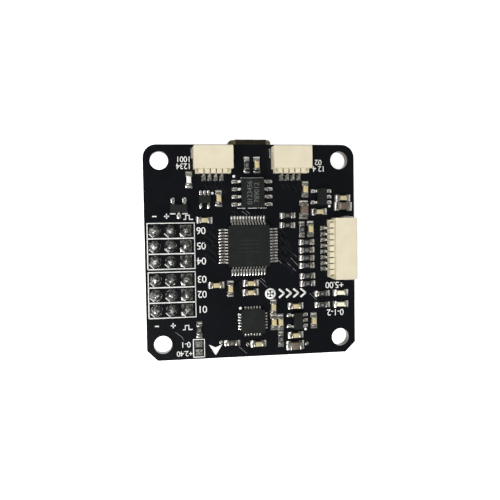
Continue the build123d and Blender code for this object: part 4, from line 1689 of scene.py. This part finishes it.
# ------------------------------------------------------------------ servo headers
@dataclass
class ServoHeaders:
    """Two blocks of header pins under the board, soldered on the populated side."""

    joint_profile: tuple[Point, ...] = (
        (0.0, -0.02), (0.95, -0.02), (0.95, 0.04), (0.91, 0.12), (0.83, 0.26), (0.72, 0.45),
        (0.64, 0.65), (0.55, 0.84), (0.42, 0.96), (0.2, 1.02), (0.0, 1.04),
    )
    joint_turn: float = 37.0
    joint_sides: int = 22
    strip_radius: float = 0.08
    pin_radius: float = 0.04
    pad_radius: float = 0.96
    pad_side: float = 1.84
    pad_height: float = 0.03
    pad_sides: int = 28

    def build(self, shop: Workshop) -> None:
        """Make the strips, pins, pads and joints.

        Args:
            shop: the workshop.
        """
        palette = shop.palette
        shop.soften("servo_header_strips", "servo_header_bases", Surface.HEADER, self.strip_radius)
        shop.soften("servo_pins", "servo_header_pins", Surface.PIN, self.pin_radius)
        board = span_of("circuit_board")
        joints = solids_of("servo_header_solder")
        places = [
            Place(joint.centre.x, joint.centre.y, board.high.z, index * self.joint_turn)
            for index, joint in enumerate(joints)
        ]
        solder = shop.repeat(
            "servo_header_joints", lathe(self.joint_profile, self.joint_sides), places,
            palette.joint, turn_spread=180.0, size_spread=0.03, lumps=0.3, lump_size=0.7, smooth=60,
        )
        shop.keep(solder, Surface.SOLDER, "servo_header_solder")
        between_columns = max(p.x for p in places) - self.pad_radius
        squares = [Place(p.x, p.y, p.z) for p in places if p.x > between_columns]
        rounds = [p for p in places if p.x <= between_columns]
        plate = block((self.pad_side, self.pad_side, self.pad_height), soft=0.01)
        shop.keep(
            shop.repeat("servo_square_pads", plate, squares, palette[Surface.PAD]), Surface.PAD
        )
        rim, top = self.pad_radius, self.pad_height
        disc = lathe(((0.0, 0.0), (rim, 0.0), (rim, top), (0.0, top)), self.pad_sides)
        shop.keep(shop.repeat("servo_round_pads", disc, rounds, palette.joint), Surface.PAD)


# ------------------------------------------------------------------ USB socket
@dataclass
class UsbSocket:
    """The mini socket under the board: shell, insulator, contacts and solder."""

    shell_radius: float = 0.07
    insulator_radius: float = 0.04
    contact_radius: float = 0.02
    front_legs: float = 2.4
    back_legs: float = 1.5
    leg_solder: Wedge = Wedge(0.9, 2.0, 0.3)
    leg_solder_start: float = -0.55
    foot: Foot = Foot(1.1, 0.42, 0.1)
    foot_start: float = 0.12
    foot_place: float = 1.0
    spring_width: float = 1.1
    spring_length: float = 3.6
    spring_apart: float = 3.6
    spring_front: float = 1.0
    slot_width: float = 0.14
    slot_height: float = 0.012
    slot_stand: float = 0.004
    slot_corner: float = 0.3

    def build(self, shop: Workshop) -> None:
        """Make the socket's pieces.

        Args:
            shop: the workshop.
        """
        shop.soften("usb_socket_shell", "usb_shell", Surface.USB, self.shell_radius, 3)
        shop.soften(
            "usb_socket_insulator", "usb_insulator", Surface.USB_PLASTIC, self.insulator_radius
        )
        shop.soften("usb_socket_contacts", "usb_contacts", Surface.PIN, self.contact_radius)
        shell = span_of("usb_shell")
        places = []
        for x, turn in ((shell.high.x, 0.0), (shell.low.x, 180.0)):
            for y in (shell.high.y - self.front_legs, shell.low.y + self.back_legs):
                places.append(Place(x, y, 0.0, turn, Side.BOTTOM))
        solder = shop.repeat(
            "usb_leg_solder", self.leg_solder.mesh(self.leg_solder_start), places,
            shop.palette[Surface.SOLDER], lumps=0.1, lump_size=0.7,
        )
        shop.keep(solder, Surface.SOLDER)
        contacts = solids_of("usb_contacts")
        feet = [
            Place(c.centre.x, c.low.y + self.foot_place, 0.0, -90, Side.BOTTOM) for c in contacts
        ]
        joints = shop.repeat(
            "usb_contact_solder", self.foot.mesh(self.foot_start), feet,
            shop.palette[Surface.SOLDER], lumps=0.04, lump_size=0.3,
        )
        shop.keep(joints, Surface.SOLDER)
        self._springs(shop, shell)

    def _springs(self, shop: Workshop, shell: Span) -> None:
        """Draw the cuts of the two spring leaves in the shell's wide face.

        Args:
            shop: the workshop.
            shell: the shell's box.
        """
        runs = []
        mouth = shell.high.y - self.spring_front
        for side in (-1, 1):
            middle = side * self.spring_apart / 2
            left, right = middle - self.spring_width / 2, middle + self.spring_width / 2
            back = mouth - self.spring_length
            runs.append([(left, mouth), (left, back), (right, back), (right, mouth)])
        lines = shop.stroke(
            "usb_spring_slots", runs, shell.low.z - self.slot_stand, self.slot_width,
            self.slot_height, shop.palette[Surface.USB_PLASTIC], self.slot_corner,
        )
        shop.keep(lines, Surface.USB)


# ------------------------------------------------------------------ circuit board
@dataclass
class CircuitBoard:
    """The board with its tracks, vias and bare pads, and bright strokes of painted highlight."""

    track_width: float = 0.17
    track_height: float = 0.008
    track_corner: float = 0.15
    lead_gap: float = 0.3
    knee_least: float = 0.5
    knee_step: float = 0.28
    slant_least: float = 0.55
    slant_step: float = 0.45
    port_gap: float = 0.2
    port_knee: float = 0.5
    port_step: float = 0.2
    port_slant: float = 0.7
    receiver_gap: float = 0.15
    receiver_knee: float = 0.35
    receiver_slant: Point = (0.5, 0.35)
    pin_gap: float = 0.8
    pin_knee: float = 1.6
    pin_step: float = 0.35
    pin_slant: float = 1.6
    usb_gap: float = 0.1
    usb_knee: float = 0.6
    usb_reach: float = 1.9
    usb_spread: float = 2.2
    pad_radius: float = 0.015
    test_points: tuple[Point, ...] = ((-5.56, 2.68), (-1.0, 2.08), (9.3, 1.75))
    via_sides: int = 14
    via_profile: tuple[Point, ...] = (
        (0.0, 0.004), (0.1, 0.004), (0.16, 0.024), (0.27, 0.026), (0.31, 0.0),
    )
    # Painted highlight: thin bright strokes that stand in for light glinting off track edges.
    glint_width: float = 0.08
    glint_height: float = 0.012
    thin_tracks: tuple[Near, ...] = (
        Near("processor_leads", 1, -1, ((-2.86, -1.23), (-1.38, -2.65))),
        Near("processor_leads", 1, -1, ((-2.41, -1.03), (-1.7, -1.74))),
        Near("processor_leads", 1, -1, ((0.3, 2.19), (1.2, 1.35))),
        Near("processor_leads", 1, -1, ((2.17, 1.42), (3.65, 0.0))),
        Near("processor_leads", 1, -1, ((2.75, 2.32), (3.97, 0.97))),
        Near("processor_leads", 1, -1, ((3.2, 3.1), (3.85, 2.39))),
        Near("processor_leads", -1, 1, ((3.77, 1.81), (4.86, 0.84))),
        Near("processor_leads", -1, 1, ((3.51, 1.29), (4.35, 0.71))),
        Near("motion_sensor_body", -1, -1, ((-0.39, -2.32), (0.9, -3.48))),
        Near("servo_header_solder", 1, -1, ((-3.04, -2.75), (-1.9, -3.65), (-1.6, -4.25))),
        Near("power_light_bodies", -1, -1, ((-4.85, 0.37), (-3.65, -0.78))),
        Near("power_light_bodies", -1, -1, ((-4.35, 0.52), (-4.0, 0.17))),
    )

    def build(self, shop: Workshop) -> None:
        """Dress the board and add its tracks, vias and pads, and the bright strokes of painted
        highlight.

        Args:
            shop: the workshop.
        """
        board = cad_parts["circuit_board"]
        board.data.materials.clear()
        board.data.materials.append(shop.palette[Surface.MASK])
        box = span_of("circuit_board")
        level = box.high.z
        self._lay(shop, "top", self._fan_out() + self._port_tracks(), level, Side.TOP)
        # Painted highlight: bright strokes where light glints off track edges.
        glints = shop.stroke(
            "thin_tracks", [near.points() for near in self.thin_tracks], level,
            self.glint_width, self.glint_height, shop.palette.glint,
        )
        shop.keep(glints, Surface.MASK)
        points = [Place(x, box.low.y + y, level) for x, y in self.test_points]
        bare = shop.repeat("test_points", self._via(), points, shop.palette[Surface.PAD])
        shop.keep(bare, Surface.PAD)
        self._lay(shop, "bottom", self._underside(), box.low.z, Side.BOTTOM)
        shop.soften("boot_pad_plates", "boot_pads", Surface.PAD, self.pad_radius)

    def _via(self) -> bmesh.types.BMesh:
        """The raised ring and sunk middle of a via."""
        return lathe(self.via_profile, self.via_sides)

    def _lay(
        self, shop: Workshop, face: str, runs: list[list[Point]], level: float, side: Side
    ) -> None:
        """Lay tracks on one face, with a via at the last point of each.

        Args:
            shop: the workshop.
            face: name of the face, that the pieces' names start with.
            runs: the tracks' points.
            level: level of the face.
            side: which face it is.
        """
        base = level if side is Side.TOP else level - self.track_height
        tracks = shop.stroke(
            face + "_tracks", runs, base, self.track_width, self.track_height,
            shop.palette.track, self.track_corner,
        )
        shop.keep(tracks, Surface.MASK)
        places = [Place(*run[-1], level, side=side) for run in runs]
        vias = shop.repeat(face + "_vias", self._via(), places, shop.palette.track, smooth=80)
        shop.keep(vias, Surface.MASK)

    def _fan_out(self) -> list[list[Point]]:
        """Fan tracks out from the processor's leads.

        Returns:
            The tracks' points.
        """
        body = span_of("processor_body")
        runs = []
        for index, lead in enumerate(solids_of("processor_leads")):
            x, y = lead.centre.x, lead.centre.y
            if x > body.high.x:
                x, way = lead.high.x + self.lead_gap, Vector((1, 0))
            elif x < body.low.x:
                x, way = lead.low.x - self.lead_gap, Vector((-1, 0))
            elif y > body.high.y:
                y, way = lead.high.y + self.lead_gap, Vector((0, 1))
            else:
                y, way = lead.low.y - self.lead_gap, Vector((0, -1))
            start = Vector((x, y))
            knee = start + way * (self.knee_least + self.knee_step * (index % 3))
            drift = way + Vector((way.y, -way.x))
            end = knee + drift * (self.slant_least + self.slant_step * (index % 4))
            runs.append([tuple(start), tuple(knee), tuple(end)])
        return runs

    def _port_tracks(self) -> list[list[Point]]:
        """Run tracks inwards from the ports' contacts.

        Returns:
            The tracks' points.
        """
        runs = []
        for port in ("main_port", "second_port"):
            for index, contact in enumerate(solids_of(port + "_contacts")):
                start = Vector((contact.centre.x, contact.low.y - self.port_gap))
                knee = start - Vector((0, self.port_knee + self.port_step * index))
                end = knee + Vector((1, -1)) * self.port_slant
                runs.append([tuple(start), tuple(knee), tuple(end)])
        slant, rise = self.receiver_slant
        for index, contact in enumerate(solids_of("receiver_port_contacts")):
            start = Vector((contact.low.x - self.receiver_gap, contact.centre.y))
            knee = start - Vector((self.receiver_knee, 0))
            end = knee + Vector((-slant, rise if index % 2 else -rise))
            runs.append([tuple(start), tuple(knee), tuple(end)])
        return runs

    def _underside(self) -> list[list[Point]]:
        """Run tracks under the board from the headers' inner column and the socket's contacts.

        Returns:
            The tracks' points.
        """
        runs = []
        pins = solids_of("servo_header_solder")
        edge = max(pin.high.x for pin in pins)
        column = [pin for pin in pins if pin.centre.x > edge - pin.size.x]
        for index, pin in enumerate(column):
            y = pin.centre.y
            knee = edge + self.pin_knee + self.pin_step * index
            slant = self.pin_slant if index < len(column) / 2 else -self.pin_slant
            runs.append([(edge + self.pin_gap, y), (knee, y), (knee + self.pin_slant, y + slant)])
        for contact in solids_of("usb_contacts"):
            x, y = contact.centre.x, contact.low.y
            end = (x * self.usb_spread, y - self.usb_reach)
            runs.append([(x, y - self.usb_gap), (x, y - self.usb_knee), end])
        return runs


# ------------------------------------------------------------------ printed marks
@dataclass(frozen=True)
class Label:
    """A printed number: its piece's name, its figures, its middle and a digit's height."""

    name: str
    text: str
    x: float
    y: float
    height: float = 1.0

    def mesh(self, level: float, thickness: float) -> bmesh.types.BMesh:
        """The number as print.

        Args:
            level: level of its underside.
            thickness: thickness of the print.

        Returns:
            Its mesh, in metres.
        """
        mesh = figures(self.text, self.height, level, thickness)
        bmesh.ops.translate(mesh, verts=mesh.verts, vec=Vector((self.x, self.y, 0)) * MM)
        return mesh


@dataclass(frozen=True)
class SignRow:
    """A row of signs past the headers: its gap, and its signs' offsets from their columns."""

    gap: float
    plus_shift: float
    pulse_shift: float
    pulse_drop: float


@dataclass
class Print:
    """White print on the board: header boxes, numbers, dots, the arrow and plain marks, with white
    strokes of painted highlight at the header joints and the memory's back edge.
    """

    line: float = 0.2
    mark_line: float = 0.32
    tick_line: float = 0.13
    end_line: float = 0.1
    thickness: float = 0.018
    tick_thickness: float = 0.05
    digit_height: float = 1.25
    number_gap: float = 2.52
    row_numbers: tuple[str, ...] = ("01", "02", "03", "04", "05", "06")
    box_left: float = 1.24
    box_right: float = 1.44
    minus_reach: float = 0.35
    plus_reach: float = 0.42
    back_signs: SignRow = SignRow(2.4, -0.55, 0.45, 0.2)
    front_signs: SignRow = SignRow(2.6, 0.15, 0.0, 0.4)
    pulse: tuple[Point, ...] = (
        (-0.8, -0.35), (-0.4, -0.35), (-0.4, 0.35), (0.2, 0.35), (0.2, -0.35), (0.8, -0.35),
    )
    end_gap: float = 0.08
    end_left: float = 0.6
    end_right: float = 0.5
    boot_margin: Point = (0.35, 0.28)
    corner_gap: float = 0.25
    corner_length: float = 0.9
    mark_place: Near = Near("sensor_regulator_body", -1, 1, ((-3.85, 3.3),))
    ring_radius: float = 0.78
    ring_sides: int = 20
    cross_reach: float = 0.5
    chevrons: int = 4
    chevron_start: float = 1.5
    chevron_pitch: float = 1.25
    chevron_length: float = 0.9
    chevron_rise: float = 0.74
    # Painted highlight: a white stroke beside each header joint, measured from the joint's middle.
    tick: tuple[Point, ...] = ((-1.0, -0.45), (-0.3, -1.1))
    arrow_place: Point = (-6.5, 0.5)
    arrow: tuple[Point, ...] = ((0, 0), (1.15, 1.85), (0, 1.32), (-1.15, 1.85))
    dot_radius: float = 0.23
    dot_sides: int = 16
    dots: tuple[Near, ...] = (
        Near("memory_body", -1, 1, ((-1.1, 0.35),)),
        Near("motion_sensor_body", -1, 1, ((-0.1, 0.25),)),
        Near("main_regulator_body", 1, -1, ((0.65, -0.15),)),
        Near("sensor_regulator_body", 1, -1, ((0.6, -0.1),)),
        Near("logic_gate_body", 1, 1, ((0.3, 0.4),)),
    )
    labels: tuple[Label, ...] = (
        Label("number_main_a", "1001", -11.25, 15.5),
        Label("number_main_b", "1234", -11.25, 14.35),
        Label("number_second_a", "02", 11.6, 14.95),
        Label("number_second_b", "12 4", 11.7, 13.85),
        Label("number_power", "+5.00", 14.3, -6.1, 1.15),
        Label("number_status", "0-1-2", 14.4, -10.85, 1.15),
        Label("number_boot_a", "0-1", -11.5, -15.35),
        Label("number_boot_b", "+2.40", -11.7, -16.85, 0.95),
    )

    def __post_init__(self) -> None:
        """Find the board's top and the headers' joints."""
        self.level = span_of("circuit_board").high.z
        self.joints = solids_of("servo_header_solder")

    def build(self, shop: Workshop) -> None:
        """Print everything, and draw the white strokes of painted highlight.

        Args:
            shop: the workshop.
        """
        material = shop.palette.ink
        lines = self._header_boxes() + self._signs() + self._boot_box() + self._chip_corners()
        for name, runs, width, thickness, corner in (
            ("printed_lines", lines, self.line, self.thickness, 0.0),
            ("printed_mark", self._mark(), self.mark_line, self.thickness, 0.1),
            # painted highlight: white strokes in the print ink beside each header joint
            ("printed_ticks", self._ticks(), self.tick_line, self.tick_thickness, 0.0),
            # back line painted highlight on the memory's edge, front line print
            ("printed_chip_ends", self._chip_ends(), self.end_line, self.thickness, 0.0),
        ):
            strokes = shop.stroke(name, runs, self.level, width, thickness, material, corner)
            shop.keep(strokes, Surface.MASK)
        x, y = self.arrow_place
        front = span_of("circuit_board").low.y
        outline = [(x + dx, front + y + dy) for dx, dy in self.arrow]
        arrow = to_object("printed_shapes", flat_shape(outline, self.level, self.thickness))
        shop.keep(shop.show(arrow, material), Surface.MASK)
        rim, top = self.dot_radius, self.thickness
        dots = shop.repeat(
            "printed_dots", lathe(((0.0, 0.0), (rim, 0.0), (rim, top), (0.0, top)), self.dot_sides),
            [Place(*near.points()[0], self.level) for near in self.dots], material,
        )
        shop.keep(dots, Surface.MASK)
        for label in (*self._row_labels(), *self.labels):
            number = to_object(label.name, label.mesh(self.level, self.thickness))
            shop.keep(shop.show(number, material), Surface.MASK)

    def _header_boxes(self) -> list[list[Point]]:
        """Frame the two header groups, with a line between rows.

        Returns:
            The lines' points.
        """
        runs = []
        half = len(self.joints) // 2
        for group in (self.joints[:half], self.joints[half:]):
            left = min(j.centre.x for j in group) - self.box_left
            right = max(j.centre.x for j in group) + self.box_right
            rows = sorted({round(j.centre.y, 3) for j in group})
            pitch = rows[1] - rows[0]
            bottom, top = rows[0] - pitch / 2, rows[-1] + pitch / 2
            runs.append([(left, bottom), (right, bottom), (right, top), (left, top), (left, bottom)])
            for row in rows[:-1]:
                runs.append([(left, row + pitch / 2), (right, row + pitch / 2)])
        return runs

    def _signs(self) -> list[list[Point]]:
        """Draw minus, plus and pulse signs past the back and the front of the header columns.

        Returns:
            The lines' points.
        """
        columns = sorted({round(j.centre.x, 3) for j in self.joints})
        back = max(j.centre.y for j in self.joints) + self.back_signs.gap
        front = min(j.centre.y for j in self.joints) - self.front_signs.gap
        runs = []
        for y, row in ((back, self.back_signs), (front, self.front_signs)):
            minus, plus = columns[0], columns[1] + row.plus_shift
            runs.append([(minus - self.minus_reach, y), (minus + self.minus_reach, y)])
            runs.append([(plus - self.plus_reach, y), (plus + self.plus_reach, y)])
            runs.append([(plus, y - self.plus_reach), (plus, y + self.plus_reach)])
            pulse = columns[2] + row.pulse_shift
            runs.append([(pulse + dx, y - row.pulse_drop + dy) for dx, dy in self.pulse])
        return runs

    def _chip_ends(self) -> list[list[Point]]:
        """Draw thin white lines along the memory's short walls: the back one is a painted highlight on
        the chip's top edge, the front one is print.

        Returns:
            The lines' points.
        """
        body = span_of("memory_body")
        # The back line is painted highlight on the chip's edge, the front line is print.
        back, front = body.high.y + self.end_gap, body.low.y - self.end_gap
        return [
            [(body.low.x, back), (body.high.x, back)],
            [(body.low.x - self.end_left, front), (body.high.x + self.end_right, front)],
        ]

    def _boot_box(self) -> list[list[Point]]:
        """Frame the two boot pads.

        Returns:
            The line's points.
        """
        pads = span_of("boot_pads")
        x_margin, y_margin = self.boot_margin
        left, right = pads.low.x - x_margin, pads.high.x + x_margin
        low, high = pads.low.y - y_margin, pads.high.y + y_margin
        return [[(left, low), (right, low), (right, high), (left, high), (left, low)]]

    def _chip_corners(self) -> list[list[Point]]:
        """Draw short lines beside the transistor's single lead.

        Returns:
            The lines' points.
        """
        body = span_of("transistor_body")
        y = body.low.y - self.corner_gap
        return [
            [(body.low.x, y), (body.low.x + self.corner_length, y)],
            [(body.high.x - self.corner_length, y), (body.high.x, y)],
        ]

    def _mark(self) -> list[list[Point]]:
        """Draw a plain mark: a ring with a cross in it, and chevrons beside it.

        Returns:
            The lines' points.
        """
        x, y = self.mark_place.points()[0]
        radius, reach, rise = self.ring_radius, self.cross_reach, self.chevron_rise
        turns = [2 * math.pi * step / self.ring_sides for step in range(self.ring_sides + 1)]
        runs = [
            [(x + radius * math.cos(a), y + radius * math.sin(a)) for a in turns],
            [(x - reach, y - reach), (x + reach, y + reach)],
            [(x - reach, y + reach), (x + reach, y - reach)],
        ]
        for index in range(self.chevrons):
            start = x + self.chevron_start + self.chevron_pitch * index
            runs.append([(start, y + rise), (start + self.chevron_length, y), (start, y - rise)])
        return runs

    def _ticks(self) -> list[list[Point]]:
        """Short white strokes at the front left of each header joint: painted highlight standing in for
        light glinting off the track edges there.
        """
        middles = [joint.centre for joint in self.joints]
        return [[(middle.x + dx, middle.y + dy) for dx, dy in self.tick] for middle in middles]

    def _row_labels(self) -> list[Label]:
        """Number the header rows from the front.

        Returns:
            The numbers.
        """
        rows = sorted({round(j.centre.y, 3) for j in self.joints})
        column = max(j.centre.x for j in self.joints) + self.number_gap
        return [
            Label(f"number_row_{index}", text, column, row, self.digit_height)
            for index, (row, text) in enumerate(zip(rows, self.row_numbers), start=1)
        ]


# ------------------------------------------------------------------ clock crystal
@dataclass
class ClockCrystal:
    """The crystal under the board with its two load capacitors."""

    package_radius: float = 0.06
    can_radius: float = 0.1

    def build(self, shop: Workshop) -> None:
        """Make the crystal and its capacitors.

        Args:
            shop: the workshop.
        """
        shop.soften("crystal_package", "crystal_base", Surface.CRYSTAL_BASE, self.package_radius)
        shop.soften("crystal_can", "crystal_lid", Surface.CRYSTAL, self.can_radius, 3)
        TerminalParts("load_capacitor", Surface.TAN, side=Side.BOTTOM).build(shop)


# ------------------------------------------------------------------ studio
@dataclass
class Studio:
    """Floor, lights, surroundings and camera."""

    eye: tuple[float, float, float] = (-15.6, 5.0, 101.6)
    aim: tuple[float, float, float] = (-0.39, 0.22, 1.6)
    up: tuple[float, float, float] = (0.0229, 0.9988, -0.0443)
    lens: float = 43.2
    sensor_width: float = 36.0
    nearest: float = 5.0
    floor_size: float = 3000.0
    floor_drop: float = 0.02
    floor_scale: float = 30.0
    floor_colours: tuple[Colour, Colour] = ((0.93, 0.93, 0.93), (0.96, 0.96, 0.96))
    floor_roughness: float = 0.9
    floor_glow: float = 0.62
    room_light: float = 0.22
    room_seen: float = 0.95
    light_distance: float = 420.0
    light_side: float = 200.0
    light_power: float = 0.75
    lights: tuple[tuple[str, float, float, float], ...] = (
        ("key", -125.0, 50.0, 2.6), ("right", 0.0, 42.0, 0.25), ("back", 75.0, 45.0, 0.3),
        ("left", 170.0, 42.0, 0.8),
    )

    def build(self) -> None:
        """Set the studio up."""
        self._floor()
        for name, azimuth, elevation, share in self.lights:
            self._light(name, azimuth, elevation, share)
        self._surroundings()
        self._camera()

    def _floor(self) -> None:
        """Lay a pale floor under the part's lowest point."""
        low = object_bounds()[0]
        half = self.floor_size / 2 * MM
        mesh = bpy.data.meshes.new("floor")
        level = low[2] - self.floor_drop * MM
        mesh.from_pydata(
            [(-half, -half, level), (half, -half, level), (half, half, level), (-half, half, level)],
            [], [(0, 1, 2, 3)],
        )
        floor = bpy.data.objects.new("floor", mesh)
        bpy.context.scene.collection.objects.link(floor)
        material = bpy.data.materials.new("pale_floor")
        material.use_nodes = True
        graph = Graph(material.node_tree)
        shader = material.node_tree.nodes["Principled BSDF"]
        dark, pale = self.floor_colours
        noise = graph.noise(graph.where(), self.floor_scale, 2.0)
        colour = graph.mix(noise, (*dark, 1), (*pale, 1))
        material.node_tree.links.new(colour, shader.inputs["Base Color"])
        shader.inputs["Roughness"].default_value = self.floor_roughness
        shader.inputs["Emission Color"].default_value = (1, 1, 1, 1)
        shader.inputs["Emission Strength"].default_value = self.floor_glow
        mesh.materials.append(material)
        floor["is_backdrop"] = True

    def _light(self, name: str, azimuth: float, elevation: float, share: float) -> None:
        """Hang one soft box, facing the board.

        Args:
            name: its name.
            azimuth: its direction round the board, in degrees from +X.
            elevation: its height over the board, in degrees.
            share: its share of the power.
        """
        lamp = bpy.data.lights.new(name, "AREA")
        lamp.shape = "SQUARE"
        lamp.size = self.light_side * MM
        lamp.energy = self.light_power * share
        holder = bpy.data.objects.new(name, lamp)
        turn, rise = math.radians(azimuth), math.radians(elevation)
        way = Vector((math.cos(turn) * math.cos(rise), math.sin(turn) * math.cos(rise), math.sin(rise)))
        holder.location = way * self.light_distance * MM
        holder.rotation_euler = way.to_track_quat("Z", "Y").to_euler()
        holder.visible_camera = False
        bpy.context.scene.collection.objects.link(holder)

    def _surroundings(self) -> None:
        """A dim even room that looks pale where it is seen directly."""
        world = bpy.data.worlds.new("room")
        bpy.context.scene.world = world
        world.use_nodes = True
        graph = Graph(world.node_tree)
        background = world.node_tree.nodes["Background"]
        seen = graph.add("ShaderNodeLightPath").outputs["Is Camera Ray"]
        strength = graph.spread(seen, self.room_light, self.room_seen)
        background.inputs["Color"].default_value = (1, 1, 1, 1)
        world.node_tree.links.new(strength, background.inputs["Strength"])
        bpy.context.scene.view_settings.view_transform = "Standard"

    def _camera(self) -> None:
        """Look down at the board, a little from its left."""
        data = bpy.data.cameras.new("camera")
        data.lens = self.lens
        data.sensor_width = self.sensor_width
        data.clip_start = self.nearest * MM
        camera = bpy.data.objects.new("camera", data)
        back = (Vector(self.eye) - Vector(self.aim)).normalized()
        across = Vector(self.up).cross(back).normalized()
        upright = back.cross(across)
        turn = Matrix((across, upright, back)).transposed().to_4x4()
        camera.matrix_world = Matrix.Translation(Vector(self.eye) * MM) @ turn
        bpy.context.scene.collection.objects.link(camera)
        bpy.context.scene.camera = camera


def main() -> None:
    """Build the whole board and its studio."""
    logging.basicConfig(level=logging.INFO, format="%(name)s %(message)s")
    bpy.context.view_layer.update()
    shop = Workshop()
    regulators = [
        LeadedChip(name, foot_reach=0.4, foot_overlap=0.35, foot_margin=0.16, edge_radius=0.04)
        for name in ("main_regulator", "sensor_regulator")
    ]
    assemblies = [
        CircuitBoard(),
        Print(),
        LeadedChip("processor", foot_reach=0.5, marks=4),
        LeadedChip("memory", foot_margin=0.12, codes=("0123456", "789012")),
        *regulators,
        LeadedChip("transistor", foot_overlap=0.35, foot_margin=0.2, edge_radius=0.04),
        LeadedChip("logic_gate", foot_reach=0.4, foot_overlap=0.25, foot_margin=0.12, edge_radius=0.03),
        MotionSensor(),
        TerminalParts("small_capacitor", Surface.TAN),
        TerminalParts("large_capacitor", Surface.BROWN, pad_length=3.2, pad_width=1.5, climb=0.45),
        TerminalParts("resistor", Surface.RESISTOR, pad_width=0.95, climb=0.8, glazed=True),
        TerminalParts("input_fuse", Surface.FUSE, climb=0.6),
        StatusLight("power_light"),
        StatusLight("status_light"),
        Port("main_port"),
        Port("second_port"),
        Port("receiver_port"),
        ServoHeaders(),
        UsbSocket(),
        ClockCrystal(),
    ]
    for assembly in assemblies:
        assembly.build(shop)
    Studio().build()


if __name__ == "__main__":
    main()
